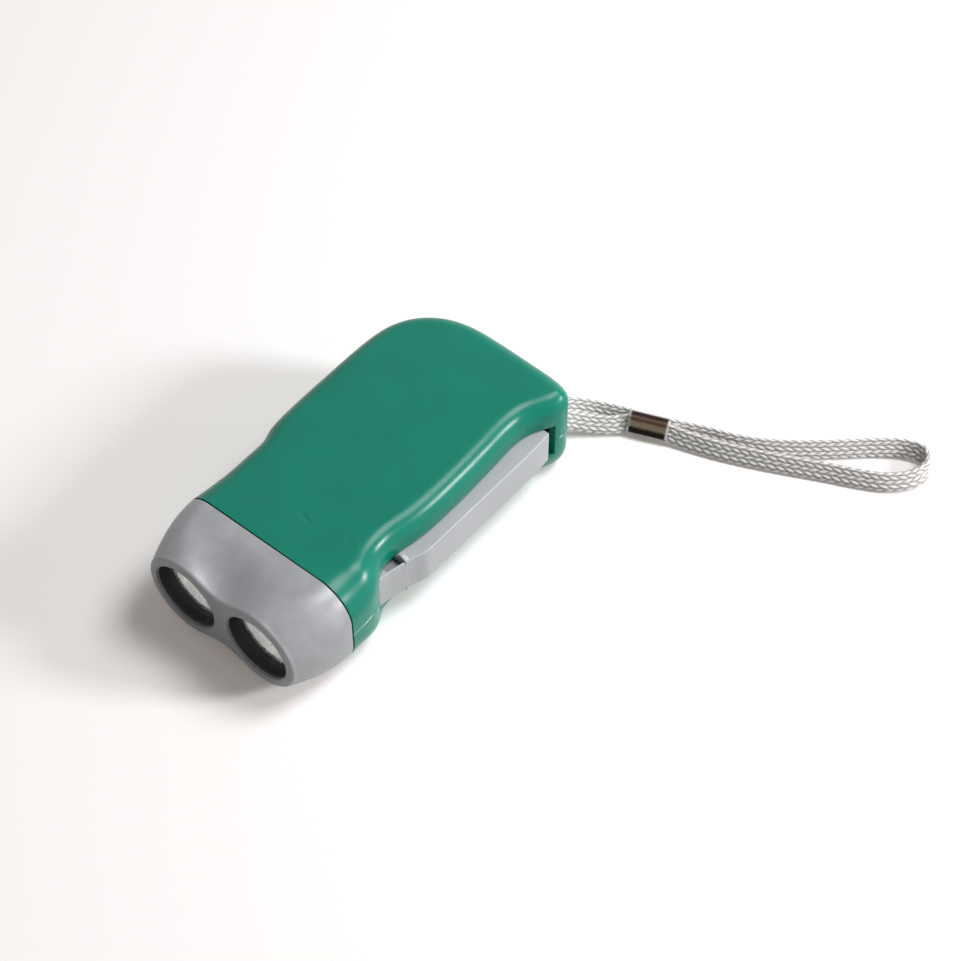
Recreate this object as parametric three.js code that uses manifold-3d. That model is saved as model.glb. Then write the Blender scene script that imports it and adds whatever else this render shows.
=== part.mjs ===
// Squeeze dynamo torch with two lamps, a side lever and a wrist strap.
// Units are millimetres. +Z is up, the beams leave along -Y, the lever is on the +X side.
// The origin is on the floor under the middle of the body.

import * as THREE from "three";
import { mergeVertices } from "three/addons/utils/BufferGeometryUtils.js";
import Module from "manifold-3d";

const wasm = await Module();
wasm.setup();

// Whole body
const overallLength = 100;
const bodyHeight = 26.4;
const halfWidth = 25.65;
const headLength = 16.6;
const shellWall = 1.8;
const partingGap = 0.25;
const fitGap = 0.3;
const overrun = 2;

// Edges of the body shells
const edgeRadius = 5;
const jointEdgeRadius = 9.5;
const edgeBlendStart = 2;
const edgeBlendLength = 16;
const edgeSteps = 4;
const wallSteps = 3;
const outlineSamples = 76;

// Head
const lampSpacing = 22.2;
const boreRadius = 9.13;
const rimRadius = 11.4;
const noseFlat = 0.3;
const waistDip = 2.8;
const waistStart_share = 0.2;
const noseEdge = 0.9;
const noseThickness = 7;
const headWall = 1.9;
const jointHalfWidth = 25.05;
const jointShift = 0.55;
const spigotLength = 2.7;
const spigotWall = 1.5;
const spigotSlack = 0.85;
const lipThickness = 0.9;

// Lamps
const tubeWall = 0.8;
const tubeLength = 10.5;
const lensRecess = 4.2;
const ledgeWidth = 0.7;
const ledgeThickness = 0.6;
const lensThickness = 1.2;
const lensDome = 1.1;
const reflectorDepth = 6.1;
const reflectorWall = 0.7;
const reflectorFlange = 0.6;
const ledRadius = 2.5;
const ledLength = 4.8;
const ledFlangeRadius = 2.9;
const ledFlange = 0.9;
const ledBoardThickness = 1.2;
const ledBoardHeight = 15;
const ledBoardOverhang = 8;

// Lever
const leverHeight = 10;
const leverMidHeight = 13.2;
const pivotX = 14.4;
const pivotY = -19.6;
const leverHubRadius = 8.2;
const leverFaceStart = -6;
const leverFaceEnd = 31;
const leverRear = 38.4;
const leverRearX = 25.2;
const leverDepth = 10.6;
const leverSkin = 1.6;
const leverFlange = 1.2;
const leverRib = 1.2;
const leverRibCount = 3;
const leverBossRadius = 3.6;
const leverGap = 0.3;
const leverRearGap = 2.6;
const leverSweepGap = 1.0;
const leverArcStart = 120;
const leverArcEnd = 362;
const leverArcSteps = 20;
const pocketArcStart = 105;
const fin_share = 0.48;
const finThickness = 1.3;
const finHeight = 1.2;
const finReach = 2.2;

// Gears
const pressureAngle = 25;
const sectorModule = 1.0;
const gearModule = 0.8;
const sectorTeeth = 44;
const sectorToothFirst = -1;
const sectorToothLast = 4;
const pinionTeeth = 10;
const firstWheelTeeth = 34;
const secondWheelTeeth = 26;
const addendum_share = 0.85;
const dedendum_share = 1.2;
const toothSlack = 0.18;
const sectorBearing = 140;
const secondBearing = 80;
const rotorBearing = 92;
const sectorThickness = 3;
const sectorRise = 2.8;
const wheelThickness = 2;
const pinionOverlap = 0.4;
const gearClearance = 0.8;
const axleRadius = 1;
const axleBossRadius = 2.6;
const pivotPinRadius = 1.3;
const pivotBossRadius = 3;

// Generator
const plateThickness = 0.8;
const plateReach = 15.6;
const plateLength = 29;
const plateCorner = 5;
const statorRadius = 14;
const clawSheet = 0.6;
const clawInner = 8.8;
const clawDepth = 0.7;
const clawCount = 8;
const clawSweep = 14;
const bobbinWall = 0.6;
const magnetRadius = 8.4;
const hubRadius = 3;
const hubNeckRadius = 2.2;
const flywheelRadius = 12.5;
const flywheelThickness = 1.7;
const flywheelBossHeight = 1.1;
const postRadius = 1.6;
const postCircle = 12.3;
const postBearings = [-25, 30, 150, 205];

// Return spring
const springRadius = 3.4;
const springWire = 0.4;
const springTurns = 3.5;
const springPitch = 1.05;
const springStepsPerTurn = 10;
const springSides = 5;
const springLeg = 5;

// Board and cell
const boardThickness = 1.2;
const boardLeft = 0;
const boardRight = 16.5;
const boardFront = -13;
const boardRear = 17.5;
const cellRadius = 10;
const cellThickness = 3.2;
const cellX = 8.3;
const cellY = 6.3;
const cellStep = 0.6;
const clipWidth = 5;
const clipSheet = 0.4;
const capacitorRadius = 1.9;
const capacitorLength = 9;
const capacitorY = -8.2;

// Switch
const switchY = -15.3;
const knobLength = 7.6;
const knobHeight = 6.4;
const knobProud = 1.5;
const knobTravel = 3;
const knobRibCount = 5;
const knobRib = 0.5;
const neckLength = 3;
const neckHeight = 3;
const neckReach = 1.2;
const switchLength = 12;
const switchHeight = 5.2;
const switchDepth = 5;
const recess_share = 0.893;

// Lever lock
const lockX = 20.3;
const lockY = 43;
const lockWidth = 2.6;
const lockLength = 2.8;
const lockTravel = 2.6;
const lockTongueHeight = 2.1;
const lockTongueDrop = 2;
const lockStemWidth = 1.6;
const lockStemLength = 2;
const lockFloorRise = 4;
const lockKnobRecess = 0.5;

// Screws
const screwRadius = 1.1;
const screwHeadRadius = 2.2;
const screwHeadHeight = 1.5;
const screwHeadSink = 0.6;
const screwLength = 16;
const screwBossRadius = 3;
const screwPlaces = {
  front_left: [-18, -26.8],
  front_right: [5, -26.8],
  rear_left: [-19.6, 38.4],
  rear_right: [9.5, 43.8],
};

// Wrist strap
const strapWidth = 4.4;
const strapThickness = 1.2;
const strapPinX = 15.6;
const strapPinY = 44.2;
const strapPinRadius = 1;
const strapExitHeight = 7.4;
const strapHoleSlack = 0.3;
const strapSides = 8;
const strapSteps = 76;
const ferruleLength = 9.8;
const ferruleWall = 0.35;
const ferruleBearing = 21.5;
const ferrulePlace = [35, 66.65, 2.9];
const strapRoute = [
  [13.65, 44.4, 7.4], [13.75, 48.4, 7.4], [14.6, 53.2, 6.5], [17.2, 58.0, 4.8], [21.6, 61.9, 3.3],
  [26.6, 64.4, 2.9], [30.3, 65.85, 2.9], [34.75, 67.5, 2.9], [39.45, 69.35, 2.9], [43.2, 71.3, 2.5],
  [48.2, 73.5, 2.4], [54.6, 75.9, 2.4], [61.2, 79.3, 2.4], [68.4, 84.5, 2.4], [75.6, 90.7, 2.4],
  [82.4, 96.9, 2.4], [88.2, 101.2, 2.4], [92.8, 102.2, 2.4], [95.8, 99.4, 2.4], [95.2, 94.6, 2.4],
  [91.2, 89.8, 2.4], [85.4, 86.4, 2.4], [77.8, 82.9, 2.4], [69.4, 78.8, 2.4], [61.0, 74.9, 2.4],
  [53.0, 71.6, 2.4], [45.8, 69.2, 2.5], [40.3, 67.6, 2.9], [35.25, 65.8, 2.9], [30.7, 64.15, 2.9],
  [27.6, 60.8, 2.9], [23.4, 57.2, 3.6], [19.8, 54.0, 5.0], [17.8, 51.4, 6.6], [17.5, 48.4, 7.4],
  [17.55, 44.4, 7.4],
];

// Body outline as shares of the half width and of the length behind the head joint
const body_outline_shares = [
  [0.994, -0.034], [0.998, 0.0145], [0.994, 0.063], [0.971, 0.104], [0.912, 0.138], [0.842, 0.167],
  [0.811, 0.201], [0.811, 0.244], [0.842, 0.299], [0.866, 0.37], [0.866, 0.507], [0.846, 0.648],
  [0.827, 0.745], [0.834, 0.793], [0.873, 0.832], [0.936, 0.866], [0.986, 0.897], [0.998, 0.925],
  [0.971, 0.954], [0.893, 0.977], [0.76, 0.988], [0.413, 0.995], [0, 1], [-0.292, 0.998],
  [-0.538, 0.979], [-0.713, 0.947], [-0.854, 0.902], [-0.947, 0.846], [-0.99, 0.779], [-1, 0.704],
  [-0.996, 0.571], [-0.986, 0.438], [-0.967, 0.348], [-0.947, 0.31], [-0.901, 0.282],
  [-0.893, 0.244], [-0.893, 0.178], [-0.904, 0.123], [-0.932, 0.063], [-0.951, 0.0145],
  [-0.959, -0.034], [-0.838, -0.118], [0, -0.161], [0.877, -0.118],
];

// Front steps of the lever as shares of its step out and of its step length
const lever_step_shares = [[0.1, 0.14], [0.3, 0.47], [0.46, 0.58], [0.79, 0.757], [1, 1]];

// Places worked out from the sizes above
const noseY = -overallLength / 2;
const tailY = overallLength / 2;
const jointY = noseY + headLength + fitGap;
const headRearY = noseY + headLength;
const floorTop = shellWall;
const ceiling = bodyHeight - shellWall;
const parting = bodyHeight / 2;
const lowerTop = parting - partingGap / 2;
const upperBottom = parting + partingGap / 2;
const leverLow = leverMidHeight - leverHeight / 2;
const leverHigh = leverMidHeight + leverHeight / 2;
const leverInnerX = halfWidth - leverDepth;
const windowRear = leverRear + leverRearGap;

const sectorRadius = (sectorModule * sectorTeeth) / 2;
const firstPinionRadius = (sectorModule * pinionTeeth) / 2;
const firstWheelRadius = (gearModule * firstWheelTeeth) / 2;
const smallPinionRadius = (gearModule * pinionTeeth) / 2;
const secondWheelRadius = (gearModule * secondWheelTeeth) / 2;
const pivot = new THREE.Vector2(pivotX, pivotY);
const firstAxle = stepFrom(pivot, sectorBearing, sectorRadius + firstPinionRadius);
const secondAxle = stepFrom(firstAxle, secondBearing, firstWheelRadius + smallPinionRadius);
const rotorAxle = stepFrom(secondAxle, rotorBearing, secondWheelRadius + smallPinionRadius);

const firstWheelLow = leverLow;
const firstWheelHigh = firstWheelLow + wheelThickness;
const sectorLow = leverLow + sectorRise;
const sectorHigh = sectorLow + sectorThickness;
const firstPinionHigh = sectorHigh + pinionOverlap;
const secondPinionLow = firstWheelLow - pinionOverlap;
const secondWheelLow = firstWheelHigh + gearClearance;
const secondWheelHigh = secondWheelLow + wheelThickness;
const rotorPinionLow = secondWheelLow - pinionOverlap;
const plateLow = secondWheelHigh + pinionOverlap;
const plateHigh = plateLow + plateThickness;
const statorLow = plateHigh + fitGap;
const flywheelHigh = ceiling - flywheelBossHeight - fitGap;
const flywheelLow = flywheelHigh - flywheelThickness;
const statorHigh = flywheelLow - fitGap - pinionOverlap;
const boardLow = floorTop + fitGap;
const boardHigh = boardLow + boardThickness;

function stepFrom(point, bearing, distance) {
  const angle = THREE.MathUtils.degToRad(bearing);
  return new THREE.Vector2(point.x + distance * Math.cos(angle), point.y + distance * Math.sin(angle));
}

// Solids

function cleaned(geometry) {
  const bare = geometry.clone();
  bare.deleteAttribute("normal");
  bare.deleteAttribute("uv");
  const merged = mergeVertices(bare);
  const index = merged.index.array;
  const kept = [];
  for (let i = 0; i < index.length; i += 3) {
    const [a, b, c] = [index[i], index[i + 1], index[i + 2]];
    if (a !== b && b !== c && c !== a) {
      kept.push(a, b, c);
    }
  }
  merged.setIndex(kept);
  if (signedVolume(merged) < 0) {
    merged.setIndex(kept.reverse());
  }
  return merged;
}

function signedVolume(geometry) {
  const place = geometry.attributes.position;
  const index = geometry.index.array;
  const [a, b, c] = [new THREE.Vector3(), new THREE.Vector3(), new THREE.Vector3()];
  let sum = 0;
  for (let i = 0; i < index.length; i += 3) {
    a.fromBufferAttribute(place, index[i]);
    b.fromBufferAttribute(place, index[i + 1]);
    c.fromBufferAttribute(place, index[i + 2]);
    sum += a.dot(b.cross(c));
  }
  return sum;
}

function solid(geometry) {
  const clean = cleaned(geometry);
  const mesh = new wasm.Mesh({
    numProp: 3,
    vertProperties: new Float32Array(clean.attributes.position.array),
    triVerts: new Uint32Array(clean.index.array),
  });
  return new wasm.Manifold(mesh);
}

function joined(solids) {
  return solids.reduce((sum, next) => sum.add(next));
}

function cut(body, tools) {
  return tools.reduce((left, tool) => left.subtract(tool), body);
}

function geometryOf(shape) {
  if (shape.isBufferGeometry) {
    return cleaned(shape);
  }
  const mesh = shape.getMesh();
  const geometry = new THREE.BufferGeometry();
  geometry.setAttribute("position", new THREE.BufferAttribute(new Float32Array(mesh.vertProperties), 3));
  geometry.setIndex(new THREE.BufferAttribute(new Uint32Array(mesh.triVerts), 1));
  return geometry;
}

function prism(points, low, high) {
  const shape = new THREE.Shape(points.map(([x, y]) => new THREE.Vector2(x, y)));
  const geometry = new THREE.ExtrudeGeometry(shape, { depth: high - low, bevelEnabled: false });
  return geometry.translate(0, 0, low);
}

function block(xs, ys, zs) {
  const geometry = new THREE.BoxGeometry(xs[1] - xs[0], ys[1] - ys[0], zs[1] - zs[0]);
  return geometry.translate((xs[0] + xs[1]) / 2, (ys[0] + ys[1]) / 2, (zs[0] + zs[1]) / 2);
}

function post(centre, radius, low, high, sides = 10) {
  const geometry = new THREE.CylinderGeometry(radius, radius, high - low, sides);
  return geometry.rotateX(Math.PI / 2).translate(centre.x, centre.y, (low + high) / 2);
}

function turned(profile, segments) {
  const points = profile.map(([radius, height]) => new THREE.Vector2(radius, height));
  return new THREE.LatheGeometry(points, segments);
}

function ring(inner, outer, low, high) {
  return [[inner, low], [outer, low], [outer, high], [inner, high], [inner, low]];
}

function arc(centre, radius, from, to, steps) {
  const points = [];
  for (let i = 0; i <= steps; i += 1) {
    const place = stepFrom(centre, from + ((to - from) * i) / steps, radius);
    points.push([place.x, place.y]);
  }
  return points;
}

// A closed solid through rings of equal count, with a fan over each end
function loft(rings) {
  const count = rings[0].length;
  const places = rings.flat();
  const index = [];
  for (let k = 0; k + 1 < rings.length; k += 1) {
    for (let i = 0; i < count; i += 1) {
      const j = (i + 1) % count;
      const [a, b, c, d] = [k * count + i, k * count + j, (k + 1) * count + j, (k + 1) * count + i];
      index.push(a, b, c, a, c, d);
    }
  }
  const [foot, head] = [places.length, places.length + 1];
  const last = (rings.length - 1) * count;
  for (let i = 0; i < count; i += 1) {
    const j = (i + 1) % count;
    index.push(foot, j, i, head, last + i, last + j);
  }
  places.push(middleOf(rings[0]), middleOf(rings[rings.length - 1]));
  const geometry = new THREE.BufferGeometry();
  geometry.setFromPoints(places);
  geometry.setIndex(index);
  return geometry;
}

function middleOf(points) {
  const sum = points.reduce((total, point) => total.add(point), new THREE.Vector3());
  return sum.divideScalar(points.length);
}

// Body shells

function bodyOutline() {
  const length = tailY - jointY;
  const corners = body_outline_shares.map(
    ([x, y]) => new THREE.Vector3(x * halfWidth, jointY + y * length, 0),
  );
  const curve = new THREE.CatmullRomCurve3(corners, true, "centripetal");
  return curve.getPoints(outlineSamples).slice(0, outlineSamples);
}

function outwardNormals(points) {
  return points.map((point, i) => {
    const before = points[(i + points.length - 1) % points.length];
    const after = points[(i + 1) % points.length];
    const along = new THREE.Vector3().subVectors(after, before).normalize();
    return new THREE.Vector3(along.y, -along.x, 0);
  });
}

function insetPoints(points, insets) {
  const normals = outwardNormals(points);
  return points.map((point, i) => point.clone().addScaledVector(normals[i], -insets[i]));
}

function edgeRadiusAt(y) {
  const blend = THREE.MathUtils.smoothstep(y - jointY, edgeBlendStart, edgeBlendStart + edgeBlendLength);
  return THREE.MathUtils.lerp(jointEdgeRadius, edgeRadius, blend);
}

function pillow(inset, low, high, steps) {
  const outline = bodyOutline();
  const wall = insetPoints(outline, outline.map(() => inset));
  const radii = outline.map((point) => edgeRadiusAt(point.y) - inset);
  const rings = [];
  for (let k = 0; k <= steps; k += 1) {
    const angle = ((Math.PI / 2) * k) / steps;
    const layer = insetPoints(wall, radii.map((radius) => radius * (1 - Math.sin(angle))));
    rings.push({ layer, rise: radii.map((radius) => radius * (1 - Math.cos(angle))) });
  }
  const lowRings = rings.map(({ layer, rise }) => layer.map((p, i) => p.clone().setZ(low + rise[i])));
  const highRings = rings.map(({ layer, rise }) => layer.map((p, i) => p.clone().setZ(high - rise[i])));
  return loft([...lowRings, ...highRings.reverse()]);
}

const outerBody = solid(pillow(0, 0, bodyHeight, edgeSteps));
const innerBody = solid(pillow(shellWall, floorTop, ceiling, wallSteps));

function leverWindow() {
  const [low, high] = [leverLow - leverGap, leverHigh + leverGap];
  const side = block([leverInnerX - overrun, halfWidth + overrun], [pivotY, windowRear], [low, high]);
  const sweep = post(pivot, leverHubRadius + leverSweepGap, low, high, 32);
  return solid(side).add(solid(sweep));
}

function switchWindow() {
  const wallX = -recess_share * halfWidth;
  const reach = neckLength + knobTravel + fitGap;
  const y = [switchY - reach / 2 - fitGap / 2, switchY + reach / 2 + fitGap / 2];
  const z = [parting - neckHeight / 2 - fitGap, parting + neckHeight / 2 + fitGap];
  return solid(block([wallX - overrun, wallX + shellWall + overrun], y, z));
}

function strapHole() {
  const half = strapPinRadius + fitGap + strapThickness + strapHoleSlack;
  const rise = strapWidth / 2 + strapHoleSlack;
  const zs = [strapExitHeight - rise, strapExitHeight + rise];
  const ys = [strapPinY + half / 2, tailY + overrun];
  return solid(block([strapPinX - half, strapPinX + half], ys, zs));
}

function lockSlot() {
  const half = lockStemWidth / 2 + fitGap;
  const rear = lockY + lockStemLength / 2 + fitGap;
  const front = lockY - lockStemLength / 2 - lockTravel - fitGap;
  return solid(block([lockX - half, lockX + half], [front, rear], [-overrun, lockFloorRise]));
}

function shellHalf(low, high) {
  const span = block([-overallLength, overallLength], [jointY, overallLength], [low, high]);
  const wall = outerBody.subtract(innerBody).intersect(solid(span));
  return cut(wall, [leverWindow(), switchWindow()]);
}

function bossInside(centre, radius, low, high) {
  return solid(post(centre, radius, low, high)).intersect(outerBody);
}

function screwCentres() {
  return Object.values(screwPlaces).map(([x, y]) => new THREE.Vector2(x, y));
}

function strapPinCentre() {
  return new THREE.Vector2(strapPinX, strapPinY);
}

function postCentres() {
  return postBearings.map((bearing) => stepFrom(rotorAxle, bearing, postCircle));
}

function lowerShell() {
  const root = floorTop / 2;
  const strapBossTop = strapExitHeight - strapWidth / 2 - fitGap * 2;
  const bosses = [
    ...screwCentres().map((c) => bossInside(c, screwBossRadius, root, lowerTop)),
    bossInside(pivot, pivotBossRadius, root, leverLow - leverGap),
    bossInside(firstAxle, axleBossRadius, root, firstWheelLow - fitGap),
    bossInside(secondAxle, axleBossRadius, root, secondPinionLow - fitGap),
    bossInside(rotorAxle, axleBossRadius, root, rotorPinionLow - fitGap),
    bossInside(strapPinCentre(), strapPinRadius + shellWall / 2, root, strapBossTop),
    ...postCentres().map((c) => bossInside(c, postRadius, root, plateLow - fitGap)),
  ];
  const axleHole = axleRadius + fitGap;
  const holes = [
    ...screwCentres().map((c) => solid(post(c, screwRadius + fitGap, -overrun, bodyHeight))),
    ...screwCentres().map((c) => solid(post(c, screwHeadRadius + fitGap, -overrun, screwSeat()))),
    solid(post(pivot, pivotPinRadius + fitGap, floorTop, bodyHeight)),
    ...[firstAxle, secondAxle, rotorAxle].map((c) => solid(post(c, axleHole, floorTop, bodyHeight))),
    solid(post(strapPinCentre(), strapPinRadius + fitGap, floorTop, bodyHeight)),
    strapHole(),
    lockSlot(),
  ];
  return cut(joined([shellHalf(-overrun, lowerTop), ...bosses]), holes);
}

function upperShell() {
  const root = ceiling + shellWall / 2;
  const strapBossLow = upperBottom;
  const bosses = [
    ...screwCentres().map((c) => bossInside(c, screwBossRadius, upperBottom, root)),
    bossInside(pivot, pivotPinRadius + shellWall / 2, leverHigh + leverGap, root),
    bossInside(firstAxle, axleBossRadius, firstPinionHigh + fitGap, root),
    bossInside(rotorAxle, axleBossRadius, flywheelHigh + fitGap, root),
    bossInside(strapPinCentre(), strapPinRadius + shellWall / 2, strapBossLow, root),
  ];
  const holes = [
    ...screwCentres().map((c) => solid(post(c, screwRadius + fitGap, 0, ceiling))),
    solid(post(pivot, pivotPinRadius + fitGap, 0, ceiling)),
    ...[firstAxle, rotorAxle].map((c) => solid(post(c, axleRadius + fitGap, 0, ceiling))),
    solid(post(strapPinCentre(), strapPinRadius + fitGap, 0, ceiling)),
  ];
  return cut(joined([shellHalf(upperBottom, bodyHeight + overrun), ...bosses]), holes);
}

// Head

function cornerArc(centreX, centreZ, radius, from, to, steps) {
  const points = [];
  for (let i = 0; i <= steps; i += 1) {
    const angle = THREE.MathUtils.degToRad(from + ((to - from) * i) / steps);
    points.push([centreX + radius * Math.cos(angle), centreZ + radius * Math.sin(angle)]);
  }
  return points;
}

function waistSpan(fromX, toX, height, dip, steps) {
  const points = [];
  for (let i = 1; i < steps; i += 1) {
    const across = fromX + ((toX - fromX) * i) / steps;
    const sag = (dip * (1 + Math.cos((Math.PI * across) / Math.abs(fromX)))) / 2;
    points.push([across, height - Math.sign(height) * sag]);
  }
  return points;
}

// One cross section of the head: share 0 at the joint, 1 at the nose
function headSection(share, inset, y) {
  const bend = share * share;
  const mix = THREE.MathUtils.lerp;
  const cornerX = mix(jointHalfWidth - jointEdgeRadius, lampSpacing / 2, bend);
  const cornerZ = mix(parting - jointEdgeRadius, noseFlat, bend);
  const radius = mix(jointEdgeRadius, rimRadius, bend) - inset;
  const dip = waistDip * THREE.MathUtils.smoothstep(share, waistStart_share, 1);
  const shift = jointShift * (1 - bend);
  const [arcSteps, spanSteps] = [5, 8];
  const flat = [
    ...cornerArc(cornerX, cornerZ, radius, 90, 0, arcSteps),
    ...cornerArc(cornerX, -cornerZ, radius, 0, -90, arcSteps),
    ...waistSpan(cornerX, -cornerX, -cornerZ - radius, dip, spanSteps),
    ...cornerArc(-cornerX, -cornerZ, radius, -90, -180, arcSteps),
    ...cornerArc(-cornerX, cornerZ, radius, 180, 90, arcSteps),
    ...waistSpan(-cornerX, cornerX, cornerZ + radius, dip, spanSteps),
  ];
  return flat.map(([x, z]) => new THREE.Vector3(x + shift, y, parting + z));
}

function headOuter() {
  const steps = 7;
  const rings = [];
  const run = headLength - noseEdge;
  for (let k = 0; k <= steps; k += 1) {
    const share = k / steps;
    rings.push(headSection(share, 0, headRearY - run * share));
  }
  [30, 60, 90].forEach((degrees) => {
    const angle = THREE.MathUtils.degToRad(degrees);
    const inset = noseEdge * (1 - Math.cos(angle));
    rings.push(headSection(1, inset, noseY + noseEdge * (1 - Math.sin(angle))));
  });
  return solid(loft(rings));
}

function headCavity() {
  const start_share = headWall / headLength;
  const end_share = (headLength - noseThickness) / headLength;
  const shares = [start_share, (start_share + end_share) / 2, end_share];
  const rings = shares.map((share) => headSection(share, headWall, headRearY - headLength * share));
  return solid(loft(rings));
}

// The spigot runs into the body shells, and its hollow opens the shoulder behind the cavity
function spigot() {
  const outer = shellWall + spigotSlack;
  const rear = headSection(0, outer, headRearY + spigotLength);
  return solid(loft([rear, headSection(0, outer, headRearY - headWall / 2)]));
}

function spigotHollow() {
  const inner = shellWall + spigotSlack + spigotWall;
  const rear = headSection(0, inner, headRearY + spigotLength + overrun);
  return solid(loft([rear, headSection(0, inner, headRearY - headWall - overrun)]));
}

function boreAlongY(radius, front, rear, x) {
  const geometry = new THREE.CylinderGeometry(radius, radius, rear - front, 28);
  return solid(geometry.translate(x, (front + rear) / 2, parting));
}

function headHousing() {
  const tubeRadius = boreRadius + tubeWall + fitGap;
  const bores = [-1, 1].flatMap((side) => {
    const x = (side * lampSpacing) / 2;
    return [
      boreAlongY(boreRadius, noseY - overrun, noseY + noseThickness + overrun, x),
      boreAlongY(tubeRadius, noseY + lipThickness, noseY + noseThickness + overrun, x),
    ];
  });
  return cut(headOuter().add(spigot()), [headCavity(), spigotHollow(), joined(bores)]);
}

// Lamps, turned about the beam axis, with depth measured back from the nose

const tubeFront = lipThickness + fitGap;
const lensFront = lensRecess + ledgeThickness + fitGap;
const reflectorFront = lensFront + lensThickness + fitGap;
const reflectorBack = reflectorFront + reflectorDepth;
const ledFlangeFront = reflectorBack + fitGap;
const ledBoardFront = ledFlangeFront + ledFlange + fitGap;

function lampTube() {
  const [inner, outer] = [boreRadius, boreRadius + tubeWall];
  const rear = tubeFront + tubeLength;
  const ledge = inner - ledgeWidth;
  return turned([
    [inner, tubeFront], [outer, tubeFront], [outer, rear], [inner, rear],
    [inner, lensRecess + ledgeThickness], [ledge, lensRecess + ledgeThickness],
    [ledge, lensRecess], [inner, lensRecess], [inner, tubeFront],
  ], 24);
}

function lens() {
  const radius = boreRadius - fitGap;
  const domeRadius = boreRadius - ledgeWidth - fitGap;
  const profile = [[0, lensFront - lensDome]];
  [0.25, 0.5, 0.75].forEach((share) => {
    profile.push([domeRadius * share, lensFront - lensDome * (1 - share * share)]);
  });
  const back = lensFront + lensThickness;
  profile.push([domeRadius, lensFront], [radius, lensFront], [radius, back], [0, back]);
  return turned(profile, 20);
}

function reflector() {
  const mouth = boreRadius - fitGap;
  const throat = ledRadius + fitGap;
  const inside = [];
  const outside = [];
  [0, 0.33, 0.67, 1].forEach((share) => {
    const depth = reflectorFront + reflectorDepth * (1 - share * share);
    const radius = throat + (mouth - reflectorWall - throat) * share;
    inside.push([radius, depth]);
    if (share < 1) {
      outside.push([radius + reflectorWall, depth]);
    }
  });
  const flangeBack = reflectorFront + reflectorFlange;
  const rim = [[mouth, reflectorFront], [mouth, flangeBack], [mouth - reflectorWall / 2, flangeBack]];
  return turned([...inside, ...rim, ...outside.reverse(), inside[0]], 20);
}

function led() {
  const back = ledFlangeFront + ledFlange;
  const domeStart = back - ledLength + ledRadius;
  const profile = [];
  [0, 30, 60, 90].forEach((degrees) => {
    const angle = THREE.MathUtils.degToRad(degrees);
    profile.push([ledRadius * Math.sin(angle), domeStart - ledRadius * Math.cos(angle)]);
  });
  profile.push([ledRadius, ledFlangeFront], [ledFlangeRadius, ledFlangeFront]);
  profile.push([ledFlangeRadius, back], [0, back]);
  return turned(profile, 12);
}

function ledBoard() {
  const half = ledBoardHeight / 2;
  const centre = lampSpacing / 2 + ledBoardOverhang - half;
  const right = arc(new THREE.Vector2(centre, 0), half, -90, 90, 8);
  const left = arc(new THREE.Vector2(-centre, 0), half, 90, 270, 8);
  const sheet = prism([...right, ...left], 0, ledBoardThickness);
  return sheet.rotateX(Math.PI / 2).translate(0, noseY + ledBoardFront + ledBoardThickness, parting);
}

// Gears with involute flanks

function involute(angle) {
  return Math.tan(angle) - angle;
}

function toothHalfAngle(radius, pitchRadius, teeth) {
  const pressure = THREE.MathUtils.degToRad(pressureAngle);
  const baseRadius = pitchRadius * Math.cos(pressure);
  const half = Math.PI / (2 * teeth) - toothSlack / (2 * pitchRadius);
  const here = Math.acos(Math.min(1, baseRadius / radius));
  return half + involute(pressure) - involute(here);
}

function toothPoints(teeth, module, centreAngle) {
  const pitchRadius = (teeth * module) / 2;
  const root = pitchRadius - dedendum_share * module;
  const tip = pitchRadius + addendum_share * module;
  const base = pitchRadius * Math.cos(THREE.MathUtils.degToRad(pressureAngle));
  const foot = Math.max(base, root + module / 4);
  const radii = [root, foot, tip];
  const rising = radii.map((r) => [r, centreAngle - toothHalfAngle(r, pitchRadius, teeth)]);
  const falling = radii.map((r) => [r, centreAngle + toothHalfAngle(r, pitchRadius, teeth)]).reverse();
  return [...rising, ...falling];
}

function gearOutline(teeth, module, phase) {
  const points = [];
  for (let k = 0; k < teeth; k += 1) {
    points.push(...toothPoints(teeth, module, phase + (2 * Math.PI * k) / teeth));
  }
  return points.map(([r, angle]) => [r * Math.cos(angle), r * Math.sin(angle)]);
}

// Angle of a tooth on the driven gear when the driver has a tooth at its own phase
function meshPhase(bearing, driverTeeth, driverPhase, drivenTeeth) {
  const toward = THREE.MathUtils.degToRad(bearing);
  const pitch = (2 * Math.PI) / driverTeeth;
  const lead = driverPhase - toward - pitch * Math.round((driverPhase - toward) / pitch);
  return toward + Math.PI - (lead * driverTeeth) / drivenTeeth + Math.PI / drivenTeeth;
}

function gearDisc(teeth, module, phase, low, high) {
  return solid(prism(gearOutline(teeth, module, phase), low, high));
}

const firstPinionPhase = meshPhase(
  sectorBearing, sectorTeeth, THREE.MathUtils.degToRad(sectorBearing), pinionTeeth,
);
const secondPinionPhase = meshPhase(secondBearing, firstWheelTeeth, 0, pinionTeeth);
const rotorPinionPhase = meshPhase(rotorBearing, secondWheelTeeth, 0, pinionTeeth);

function bored(shape, radius, low, high) {
  const bore = post(new THREE.Vector2(0, 0), radius, low - overrun, high + overrun, 16);
  return shape.subtract(solid(bore));
}

function firstGear() {
  const wheel = gearDisc(firstWheelTeeth, gearModule, 0, firstWheelLow, firstWheelHigh);
  const pinion = gearDisc(pinionTeeth, sectorModule, firstPinionPhase, firstWheelLow, firstPinionHigh);
  return bored(wheel.add(pinion), axleRadius + fitGap, firstWheelLow, firstPinionHigh);
}

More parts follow.
